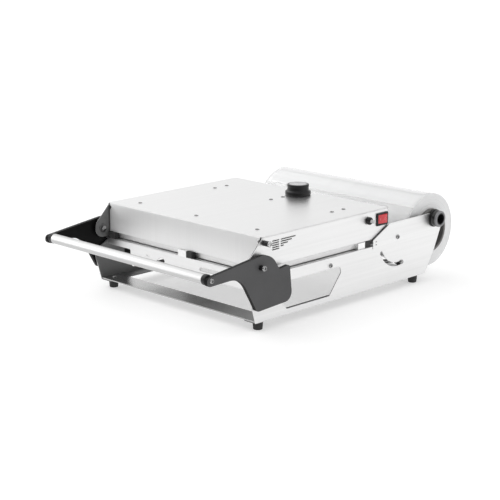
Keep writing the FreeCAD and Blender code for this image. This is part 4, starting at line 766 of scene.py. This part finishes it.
# %% Knob and disc
DISC_RADIUS = 17.9
knob = Solid("thermostat_knob")
skirt = (knob.high[0] - knob.low[0]) / 2
knob_top = knob.high[2] - knob.low[2]
barrel = skirt - 3.8
knob_profile = rounded([
    (3.0, 0.2), (skirt - 0.6, 0, 0.6), (skirt, 2.0, 0.8), (skirt, 7.4, 1.2), (barrel + 0.4, 9.4, 0.6),
    (barrel - 0.4, 10.2, 0.5), (barrel - 0.4, knob_top - 5.0, 0.5), (barrel, knob_top - 3.8, 0.6),
    (barrel, knob_top, 1.6), (18.2, knob_top, 0.3), (18.2, knob_top - 1.6), (0, knob_top - 1.6),
], steps=4)
knob_grid = turned(knob_profile, (*knob.middle[:2], knob.low[2]), "up", 96)
make_piece("knob_barrel", [knob_grid], "knob", "black_plastic", ["thermostat_knob"])
knob_disc = Solid("knob_disc")
disc = knob_disc.high[2] - knob_disc.low[2]
disc_profile = rounded([
    (0, 0), (DISC_RADIUS, 0, 0.2), (DISC_RADIUS, disc, 0.8), (13.0, disc, 0.4), (12.4, disc - 0.4, 0.4),
    (0, disc - 0.4),
], steps=4)
disc_grid = turned(disc_profile, (*knob.middle[:2], knob_disc.low[2]), "up", 96)
make_piece("knob_top_disc", [disc_grid], "knob", "knob_grey", ["knob_disc"])
print("knob stands", round(knob_top, 1), "mm above the cover")

# %% [markdown]
# ## Hanger studs
# Nine studs carry the hot plate, and their flat heads show on the cover as small dark rings.  Each is a low
# disc with a dimple, on a shank that reaches down to the plate.

# %% Stud heads
STUD_HEAD = 4.0
STUD_SHANK = 3.0
MIDDLE_ROW = 32.5
cover_top = Solid("top_cover").high[2]
studs = Solid("hanger_studs")
stud_foot, stud_tip = studs.low[2] - cover_top, studs.high[2] - cover_top
stud_x = (studs.high[0] - studs.low[0]) / 2 - STUD_HEAD
stud_rows = (studs.low[1] + STUD_HEAD, MIDDLE_ROW, studs.high[1] - STUD_HEAD)
stud_profile = rounded([
    (0, stud_foot), (STUD_SHANK, stud_foot), (STUD_SHANK, -0.1), (STUD_HEAD, 0.0, 0.2),
    (STUD_HEAD, stud_tip, 0.5), (2.4, stud_tip, 0.3), (1.6, 0.2, 0.3), (0, 0.2),
], steps=4)
stud_spots = [(x, y, cover_top) for x in (-stud_x, 0.0, stud_x) for y in stud_rows]
make_piece("stud_heads", [turned(stud_profile, spot, "up", 32) for spot in stud_spots], "head",
           "bright_steel", ["hanger_studs"])
print("stud rows at", [round(float(y), 1) for y in stud_rows])

# %% [markdown]
# ## Mains switch
# The switch is a black bezel with a red rocker that is pressed in at its front end.  The rocker's face is
# two flats that meet over the pivot, softened into a shallow curve, and it carries a line and a ring.
# Bezel and rocker are stacks of rounded rectangles, and the rocker's grow from the middle of its face.

# %% Rounded rectangles as rings
def rounded_ring(half_y, half_z, corner, count=64):
    """Points of a rectangle with round corners: four arcs, each about the centre of its own corner."""
    angle = angles(count) + TURN / count / 2
    corner = min(corner, half_y, half_z)
    centre_y = np.sign(np.cos(angle)) * (half_y - corner)
    centre_z = np.sign(np.sin(angle)) * (half_z - corner)
    return np.stack([centre_y + corner * np.cos(angle), centre_z + corner * np.sin(angle)], axis=1)


def ring_stack(rings, centre):
    """A grid from rings (points in Y and Z, height in X or an array of heights), about a centre."""
    rows = []
    for ring, level in rings:
        height = np.broadcast_to(level, ring.shape[:1])
        rows.append(np.stack([height, ring[:, 0], ring[:, 1]], axis=1) + np.array(centre, float))
    return np.stack(rows) * MM


SWITCH_DEPTH = 18.0
BEZEL_WALL = 3.4
switch = Solid("switch_frame")
switch_y, switch_z = switch.middle[1:]
half_y, half_z = (switch.high[1:] - switch.low[1:]) / 2
stand = switch.high[0] - ear_outside
bezel_rows = [
    (BEZEL_WALL, 1.0, -SWITCH_DEPTH), (BEZEL_WALL, 1.0, stand - 0.6), (BEZEL_WALL - 0.5, 1.2, stand - 0.1),
    (1.0, 1.4, stand), (0.3, 1.6, stand - 0.35), (0.0, 1.8, stand - 1.2), (0.0, 1.8, 0.0),
    (2.6, 1.0, 0.0), (2.6, 1.0, -SWITCH_DEPTH),
]
bezel_rings = [
    (rounded_ring(half_y - inset, half_z - inset, corner), level) for inset, corner, level in bezel_rows
]
bezel = ring_stack(bezel_rings, (ear_outside, switch_y, switch_z))
make_piece("switch_bezel", [(bezel, True, True)], "head", "black_plastic", ["switch_frame"])
print("bezel is", round(2 * half_y, 1), "by", round(2 * half_z, 1), "mm")

# %% Rocker
rocker_half_y = half_y - BEZEL_WALL - 0.6
rocker_half_z = half_z - BEZEL_WALL - 0.4
TILT = math.radians(8.0)
CREST = 5.5
CREASE = 0.05
PIVOT_DEPTH = 4.0
MARK_SINK = 0.05
MARK_LIFT = 0.14
pivot_x = switch.high[0] - PIVOT_DEPTH


def rocker_face(along):
    """Height of the rocker's face over its pivot: two flats joined by a soft crease."""
    return CREST - np.sqrt((along * math.tan(TILT)) ** 2 + CREASE)


def tilt_rocker(grid):
    """Turns the rocker about its pivot line, so that its front end is pressed in."""
    turned_grid = grid.copy()
    x = grid[..., 0] / MM - pivot_x
    y = grid[..., 1] / MM - switch_y
    turned_grid[..., 0] = (pivot_x + x * math.cos(TILT) + y * math.sin(TILT)) * MM
    turned_grid[..., 1] = (switch_y - x * math.sin(TILT) + y * math.cos(TILT)) * MM
    return turned_grid


rocker_rings = []
for share in np.linspace(0.0, 0.94, 9):
    ring = rounded_ring(rocker_half_y * share, rocker_half_z * share, 1.0)
    rocker_rings.append((ring, rocker_face(ring[:, 0])))
for inset, drop in ((0.25, 0.05), (0.08, 0.25), (0.0, 0.6)):
    ring = rounded_ring(rocker_half_y - inset, rocker_half_z - inset, 1.0)
    rocker_rings.append((ring, rocker_face(ring[:, 0]) - drop))
rocker_rings += [
    (rounded_ring(rocker_half_y - 0.4, rocker_half_z, 1.0), -2.0),
    (rounded_ring(rocker_half_y - 3.0, rocker_half_z, 1.0), -6.0),
    (rounded_ring(0.0, 0.0, 0.0), -6.0),
]
rocker_grid = tilt_rocker(ring_stack(rocker_rings, (pivot_x, switch_y, switch_z)))
make_piece("rocker_cap", [(rocker_grid, False, True)], "rocker", "red_plastic", ["switch_rocker"])


def rocker_mark(centre_y, inner, outer):
    """A flat ring or bar standing a hair above the rocker's face, between two outlines in Y and Z."""
    rows = []
    for outline, lift in ((inner, 0.0), (inner, MARK_LIFT), (outer, MARK_LIFT), (outer, 0.0)):
        y = outline[:, 0] + centre_y
        rows.append((np.stack([y, outline[:, 1]], axis=1), rocker_face(y) - MARK_SINK + lift))
    return tilt_rocker(ring_stack(rows, (pivot_x, switch_y, switch_z))), True, True


line_mark = rocker_mark(-6.0, rounded_ring(0.05, 1.6, 0.05), rounded_ring(0.5, 2.6, 0.3))
ring_mark = rocker_mark(6.0, rounded_ring(1.3, 1.3, 1.3), rounded_ring(2.0, 2.0, 2.0))
make_piece("rocker_marks", [line_mark, ring_mark], "rocker", "red_plastic", finish=mark_white)
print("rocker face is", round(2 * rocker_half_y, 1), "mm long")

# %% [markdown]
# ## Pilot lamp and cable gland
# The lamp is a black collar that narrows to a small clear tip.  The gland on the far side is a hexagon nut
# under a ribbed dome.  Both are turned profiles, and the nut's hexagon is a ring with six flats.

# %% Lamp
lamp = Solid("lamp_collar")
lamp_seat = lamp.at(ear_outside)
lamp_reach = lamp.high[0] - ear_outside
lamp_profile = rounded([
    (0, -8.0), (5.0, -8.0), (5.0, -1.5), (lamp.radius - 1.0, 0.0, 0.4), (lamp.radius, 1.6, 1.0),
    (lamp.radius, 5.0, 1.8), (lamp.radius - 2.2, lamp_reach, 1.4), (3.7, lamp_reach, 0.2),
    (3.7, lamp_reach - 3.0), (0, lamp_reach - 3.0),
], steps=4)
make_piece("lamp_body", [turned(lamp_profile, lamp_seat, "right")], "head", "black_plastic",
           ["lamp_collar"])
lens_reach = Solid("lamp_lens").high[0] - ear_outside
lens_profile = rounded([
    (0, lamp_reach - 2.8), (3.5, lamp_reach - 2.8), (3.5, lens_reach - 3.0, 0.6),
    (2.4, lens_reach - 0.4, 1.6), (0, lens_reach),
])
make_piece("lamp_tip", [turned(lens_profile, lamp_seat, "right")], "head", "clear_plastic", ["lamp_lens"])
print("lamp stands", round(lens_reach, 1), "mm out")

# %% Gland
RIBS = 18
RIB_HEIGHT = 0.025
gland = Solid("cable_gland")
gland_seat = gland.at(-ear_outside)
gland_reach = -gland.low[0] - ear_outside
nut_rows = [(4.0, 0.0), (gland.radius - 0.5, 0.0), (gland.radius, 0.5), (gland.radius, 4.6),
            (gland.radius - 0.8, 5.4), (4.0, 5.4)]
nut = stack_rings([(reach * HEXAGON, level) for reach, level in nut_rows], gland_seat, "left")
dome_profile = rounded([
    (gland.radius - 2.0, 5.2), (gland.radius - 1.1, 5.6, 0.4), (gland.radius - 1.1, 12.0, 1.5),
    (gland.radius - 3.5, gland_reach, 1.5), (4.0, gland_reach, 0.4), (4.0, gland_reach - 6.0),
    (0, gland_reach - 6.0),
])
dome = turned(dome_profile, gland_seat, "left", 72)[0] / MM - np.array(gland_seat)
rib_angle = np.arctan2(dome[..., 2], dome[..., 1])
near_rim = (np.hypot(dome[..., 1], dome[..., 2]) > gland.radius - 1.4)[..., None]
dome[..., 1:] *= 1 + RIB_HEIGHT * near_rim * np.cos(RIBS * rib_angle)[..., None]
ribbed = ((dome + np.array(gland_seat)) * MM, False, True)
stem = turned(rounded([(4.0, -10.0), (6.0, -10.0, 0.4), (6.0, 0.2)]), gland_seat, "left")
make_piece("gland_body", [nut, ribbed, stem], "head", "black_plastic", ["cable_gland"])
print("gland stands", round(gland_reach, 1), "mm out")

# %% [markdown]
# ## Spindle ends
# The spindle is a thin tube that turns in two bushings, and a dark collar with a rounded rim keeps it from
# sliding out on either side.

# %% Spindle, bearings and collars
SPINDLE_BORE = 10.0
SPINDLE_RADIUS = 12.0
BEARING_BORE = 12.1
SLEEVE_RADIUS = 14.0
spindle = Solid("spindle_tube")
tube_profile = pipe(SPINDLE_BORE, SPINDLE_RADIUS, -spindle.high[0], spindle.high[0], *TUBE_ROUNDS)
make_piece("spindle_pipe", [turned(tube_profile, spindle.at(0), "right", 64)], "spindle", "grey_plastic",
           ["spindle_tube"], black_moulding)

flange = Solid("spindle_bearings")
flange_face = flange.high[0]
bearing_profile = rounded([
    (BEARING_BORE, wall_inside), (SLEEVE_RADIUS, wall_inside), (SLEEVE_RADIUS, wall_face),
    (flange.radius, wall_face, 0.4), (flange.radius, flange_face, 0.8), (BEARING_BORE, flange_face, 0.3),
    (BEARING_BORE, wall_inside),
])
make_piece("bearing_bushings", pair(bearing_profile, spindle, 64), "base", "black_plastic",
           ["spindle_bearings"])

collar = Solid("spindle_collars")
collar_start, collar_end = flange_face + 0.3, collar.high[0]
groove = (collar_start + collar_end) / 2
collar_profile = rounded([
    (SPINDLE_RADIUS, collar_start), (collar.radius, collar_start, 1.2), (collar.radius, groove - 1.2, 0.4),
    (collar.radius - 0.7, groove, 0.6), (collar.radius, groove + 1.2, 0.4), (collar.radius, collar_end, 2.2),
    (SPINDLE_RADIUS, collar_end, 0.4), (SPINDLE_RADIUS, collar_start),
])
# The collars' finish paints them black as shade, except on their outer face.
make_piece("end_collars", pair(collar_profile, spindle, 64), "spindle", "grey_plastic", ["spindle_collars"],
           collar_grey_and_shade)
print("collars reach", round(collar_end, 1), "mm")

# %% [markdown]
# ## The film roll
# Film is wound on a tube, and no roll is perfectly flat at its ends: each layer lies a hair further in or
# out than the last.  The end profile therefore wanders by a few tenths of a millimetre, from a sum of
# sines, and the outer skin has a slow ripple along its length.

# %% Wound roll
CORE_WALL = 5.0
END_INSET = 0.42
roll = Solid("film_roll")
core = Solid("film_core")
layers = np.linspace(core.radius + 0.3, roll.radius - 0.6, 44)
wander = 0.16 * np.sin(layers * 1.9) + 0.12 * np.sin(layers * 4.3 + 1.0) + 0.1 * np.sin(layers * 0.7)
left_face = np.stack([layers, roll.low[0] + END_INSET + wander], axis=1)
right_face = np.stack([layers, roll.high[0] - END_INSET + wander], axis=1)[::-1]
outer_steps = np.linspace(roll.low[0] + 1.0, roll.high[0] - 1.0, 40)
outer_skin = np.stack([roll.radius - 0.12 - 0.1 * np.sin(outer_steps * 0.11) ** 2, outer_steps], axis=1)
roll_profile = np.concatenate([left_face, outer_skin, right_face, left_face[:1]])
wound_roll = make_piece("wound_roll", [turned(roll_profile, roll.at(0), "right", 128)], "roll", "film",
                        ["film_roll"], crease=50.0)
core_profile = pipe(core.radius - CORE_WALL, core.radius, core.low[0], core.high[0], *TUBE_ROUNDS)
make_piece("core_tube", [turned(core_profile, roll.at(0), "right", 96)], "roll", "core_board", ["film_core"])
print("roll radius", round(roll.radius, 1), "mm")

# %% [markdown]
# ## Counterbalance springs
# An extension spring on each side pulls on a pin that runs in the arc slot.  It is a real helix here: a
# ring carried along a screw line, with a straight neck and a hook at each end.

# %% Helical springs
hinge = np.array([0.0, 168.3, 108.1])
LEVER_REACH = 55.0
PIN_ANGLE = math.radians(-75.5)
anchor_point = np.array(anchors.at(0.0))


def pin_at(angle):
    """The spring pin's place at an angle about the hinge."""
    return hinge + LEVER_REACH * np.array([0.0, math.cos(angle), math.sin(angle)])


pin_shut = pin_at(PIN_ANGLE)
SPRING_X = 201.5
WIRE = 0.75
COIL = 3.2
PITCH = 3.1
EYE_RADIUS = 5.7
NECK = 9.0
EASE = 2.5
TURN_STEPS = 14


def spring_path():
    """A line through hook, neck, coils, neck and hook, with Z along the spring, in mm."""
    length = float(np.linalg.norm(pin_shut - anchor_point))
    start, end = NECK, length - NECK
    turns = round((end - start) / PITCH)
    angle = np.linspace(0, TURN * turns, turns * TURN_STEPS)
    height = np.linspace(start, end, len(angle))
    ease = np.clip(np.minimum(height - start, end - height) / EASE, 0, 1)
    coil = np.stack([COIL * ease * np.cos(angle), COIL * ease * np.sin(angle), height], axis=1)
    hook = np.linspace(-0.42 * TURN, 0.46 * TURN, 22)
    low_hook = np.stack([hook * 0, EYE_RADIUS * np.sin(hook), -EYE_RADIUS * np.cos(hook)], axis=1)
    high_hook = -low_hook[::-1] + np.array([0, 0, length])
    return np.concatenate([low_hook, coil, high_hook]), length


def wire_along(path, radius, sides=8):
    """A ring carried along a path: each ring stands across the path, without twisting."""
    ahead = np.gradient(path, axis=0)
    ahead /= np.linalg.norm(ahead, axis=1, keepdims=True)
    across = np.cross(ahead, np.array([1.0, 0.0, 0.0]) + ahead[:, ::-1] * 0.05)
    across /= np.linalg.norm(across, axis=1, keepdims=True)
    beside = np.cross(ahead, across)
    angle = angles(sides)[None, :, None]
    rings = path[:, None] + radius * (np.cos(angle) * across[:, None] + np.sin(angle) * beside[:, None])
    ends = np.repeat(path[[0, -1]][:, None], sides, axis=1)
    return np.concatenate([ends[:1], rings, ends[1:]])


def spring_grid(side):
    """The spring of one side, laid from the anchor to the pin."""
    path, length = spring_path()
    ahead = (pin_shut - anchor_point) / length
    across = np.array([1.0, 0.0, 0.0])
    beside = np.cross(ahead, across)
    turned_path = (anchor_point + np.array([side * SPRING_X, 0, 0])
                   + path[:, :1] * across + path[:, 1:2] * beside + path[:, 2:] * ahead)
    return wire_along(turned_path, WIRE) * MM, False, True


springs = make_piece("coil_springs", [spring_grid(-1), spring_grid(1)], "base", "spring_steel",
                     ["counter_springs"])
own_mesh(springs)

# %% [markdown]
# ## The film web
# From the top of the roll the film runs under the guide roller and onto the deck.  It is a single stretched
# sheet, so it is modelled as a strip that follows a smooth line.

# %% Web from roll to deck
GUIDE_RADIUS = 10.5
SKIN = 0.5
WRAP_END = math.radians(256.0)
WEB_MARGIN = 0.5
DECK_EDGE = np.array([105.5, 102.1])
ON_DECK = 7.2
web_box = Solid("film_web")
reach_y, reach_z = hinge[1:] - roll.middle[1:]
skin = roll.radius + SKIN
lean = math.atan2(reach_z, reach_y) - math.acos((skin + GUIDE_RADIUS) / math.hypot(reach_y, reach_z))
leave = roll.middle[1:] + skin * np.array([math.cos(lean), math.sin(lean)])
wrap = np.linspace(lean + math.pi, WRAP_END, 14)
under = hinge[1:] + GUIDE_RADIUS * np.stack([np.cos(wrap), np.sin(wrap)], axis=1)
run_in = leave + (under[0] - leave) * np.linspace(0, 1, 30)[:, None]
run_out = under[-1] + (DECK_EDGE - under[-1]) * np.linspace(0, 1, 24)[1:, None]
web_line = np.concatenate([run_in[:-1], under, run_out, [DECK_EDGE - (ON_DECK, 0)]])
web_x = np.linspace(web_box.low[0] + WEB_MARGIN, web_box.high[0] - WEB_MARGIN, 40)
web_grid = np.stack([
    np.stack([web_x, np.full_like(web_x, y), np.full_like(web_x, z)], axis=1) for y, z in web_line
]) * MM
web = make_piece("film_strip", [(web_grid, False, False)], "base", "film", ["film_web"], web_film, 80.0)

# %% [markdown]
# ## Small rivets beside the stop pads
# Two small rivets sit in each side plate behind the rubber pads.  They are low domes.

# %% Rivets
RIVET_Y = 102.5
RIVET_HEIGHTS = (103.7, 109.6)
rivet_profile = rounded([(0, -0.5), (1.5, -0.5), (1.5, 0.2, 0.2), (0.9, 0.75, 0.5), (0, 0.8)])
rivets = [
    turned(rivet_profile, (sign * wall_face, RIVET_Y, z), way, 20)
    for sign, way in SIDES for z in RIVET_HEIGHTS
]
make_piece("pad_rivets", rivets, "base", "bright_steel")
print("rivets are set")

# %% [markdown]
# ## Floor and light
# The floor is one large pale sheet that runs out of the picture on every side.  Polished sheet shows
# whatever surrounds it, so the surroundings are an even white sky with three darker parts: the side in
# front and low down, a gap in the ceiling behind, and what lies straight overhead.  One wide, soft sun
# lights everything.  Two soft boxes shine on the wound film alone, and one on the handle's tube alone.

# %% Floor
FLOOR_REACH = 30.0
FLOOR_SIDES = 96
floor_shader = Shader("pale_floor")
floor_grain = floor_shader.noise((40.0, 40.0, 40.0))
floor_finish = floor_shader.finish(
    Base_Color=floor_shader.blend(floor_grain.clamped(0.2, 0.8), grey(0.66), grey(0.68)),
    Roughness=0.85 + floor_grain * 0.1,
    Specular_IOR_Level=0.0,
    Emission_Color=grey(1.0),
    Emission_Strength=0.45,
)
floor_profile = np.array([(reach / MM, 0.0) for reach in (0.0, 0.6, 1.5, 4.0, 10.0, FLOOR_REACH)])
floor = make_mesh("floor", [turned(floor_profile, (0, 0, 0), "up", FLOOR_SIDES)], floor_finish)
if floor.data.polygons[0].normal.z < 0:
    floor.data.flip_normals()
print("floor reaches", FLOOR_REACH, "m")

# %% Light
class Sky(Shader):
    """The node tree of the surroundings, where a place is the direction that is looked in."""

    WHERE = 0

    def __init__(self, name):
        self.world = bpy.data.worlds.new(name)
        self.world.use_nodes = True
        self.tree = self.world.node_tree
        self.tree.nodes.clear()

    def finish(self, brightness):
        """Ends the tree in a white background of the given brightness."""
        values = {"Color": grey(1.0), "Strength": brightness}
        self.end(self.node("ShaderNodeBackground", {}, values), "ShaderNodeOutputWorld")
        return self.world


DARK_SIDE = (0.35, -0.94, 0.0)
CEILING_GAP = (-0.20, 0.58, 0.79)
UPWARDS = (0.0, 0.0, 1.0)
SKY_LEVEL = 1.0
DARK_SHARE = 0.88
GAP_SHARE = 0.58
OVERHEAD_SHARE = 0.60

sky = Sky("studio")
dark_side = sky.along(DARK_SIDE).clamped(0.05, 0.90)
low_down = 1.0 - sky.along(UPWARDS).clamped(0.35, 0.80)
gap = sky.along(CEILING_GAP).clamped(0.82, 0.90)
overhead = sky.along(UPWARDS).clamped(0.80, 0.95)
ceiling = gap * (1.0 - overhead) * (SKY_LEVEL * GAP_SHARE) + overhead * (SKY_LEVEL * OVERHEAD_SHARE)
bpy.context.scene.world = sky.finish(SKY_LEVEL - dark_side * low_down * (SKY_LEVEL * DARK_SHARE) - ceiling)


def aim(light, way):
    """Turns a light so that it shines along a direction."""
    light.rotation_euler = way.to_track_quat("-Z", "Y").to_euler()


def soft_box(name, place, target, width, height, power):
    """A rectangular light at a place, facing a target, in metres and watts."""
    data = bpy.data.lights.new(name, "AREA")
    data.shape = "RECTANGLE"
    data.size = width
    data.size_y = height
    data.energy = power
    light = add(name, data)
    light.location = place
    aim(light, Vector(target) - Vector(place))
    return light


def shine_only_on(piece, name, boxes):
    """Links soft boxes to a collection with one piece in it, so that they light nothing else."""
    lit = bpy.data.collections.new(name)
    lit.objects.link(piece)
    for box in boxes:
        box.light_linking.receiver_collection = lit


KEY_WAY = Vector((0.40, 0.12, -0.91))
KEY_POWER = 1.05
KEY_SPREAD = math.radians(90.0)
key_data = bpy.data.lights.new("key", "SUN")
key_data.energy = KEY_POWER
key_data.angle = KEY_SPREAD
aim(add("key", key_data), KEY_WAY)

shine_only_on(wound_roll, "lit_by_the_film_boxes", [
    soft_box("film_box", (-1.9, -0.45, 1.45), (0, 0.28, 0.12), width=1.5, height=0.9, power=13.0),
    soft_box("film_end_box", (2.2, 1.2, 0.9), (0.2, 0.28, 0.10), width=1.0, height=1.0, power=5.0),
])
shine_only_on(grip, "lit_by_the_bar_box", [
    soft_box("bar_box", (-1.09, -1.45, 0.42), (0, -0.348, 0.1215), width=1.8, height=1.5, power=12.0),
])
view = bpy.context.scene.view_settings
view.view_transform = "Standard"
view.look = "None"
print("lights are set")
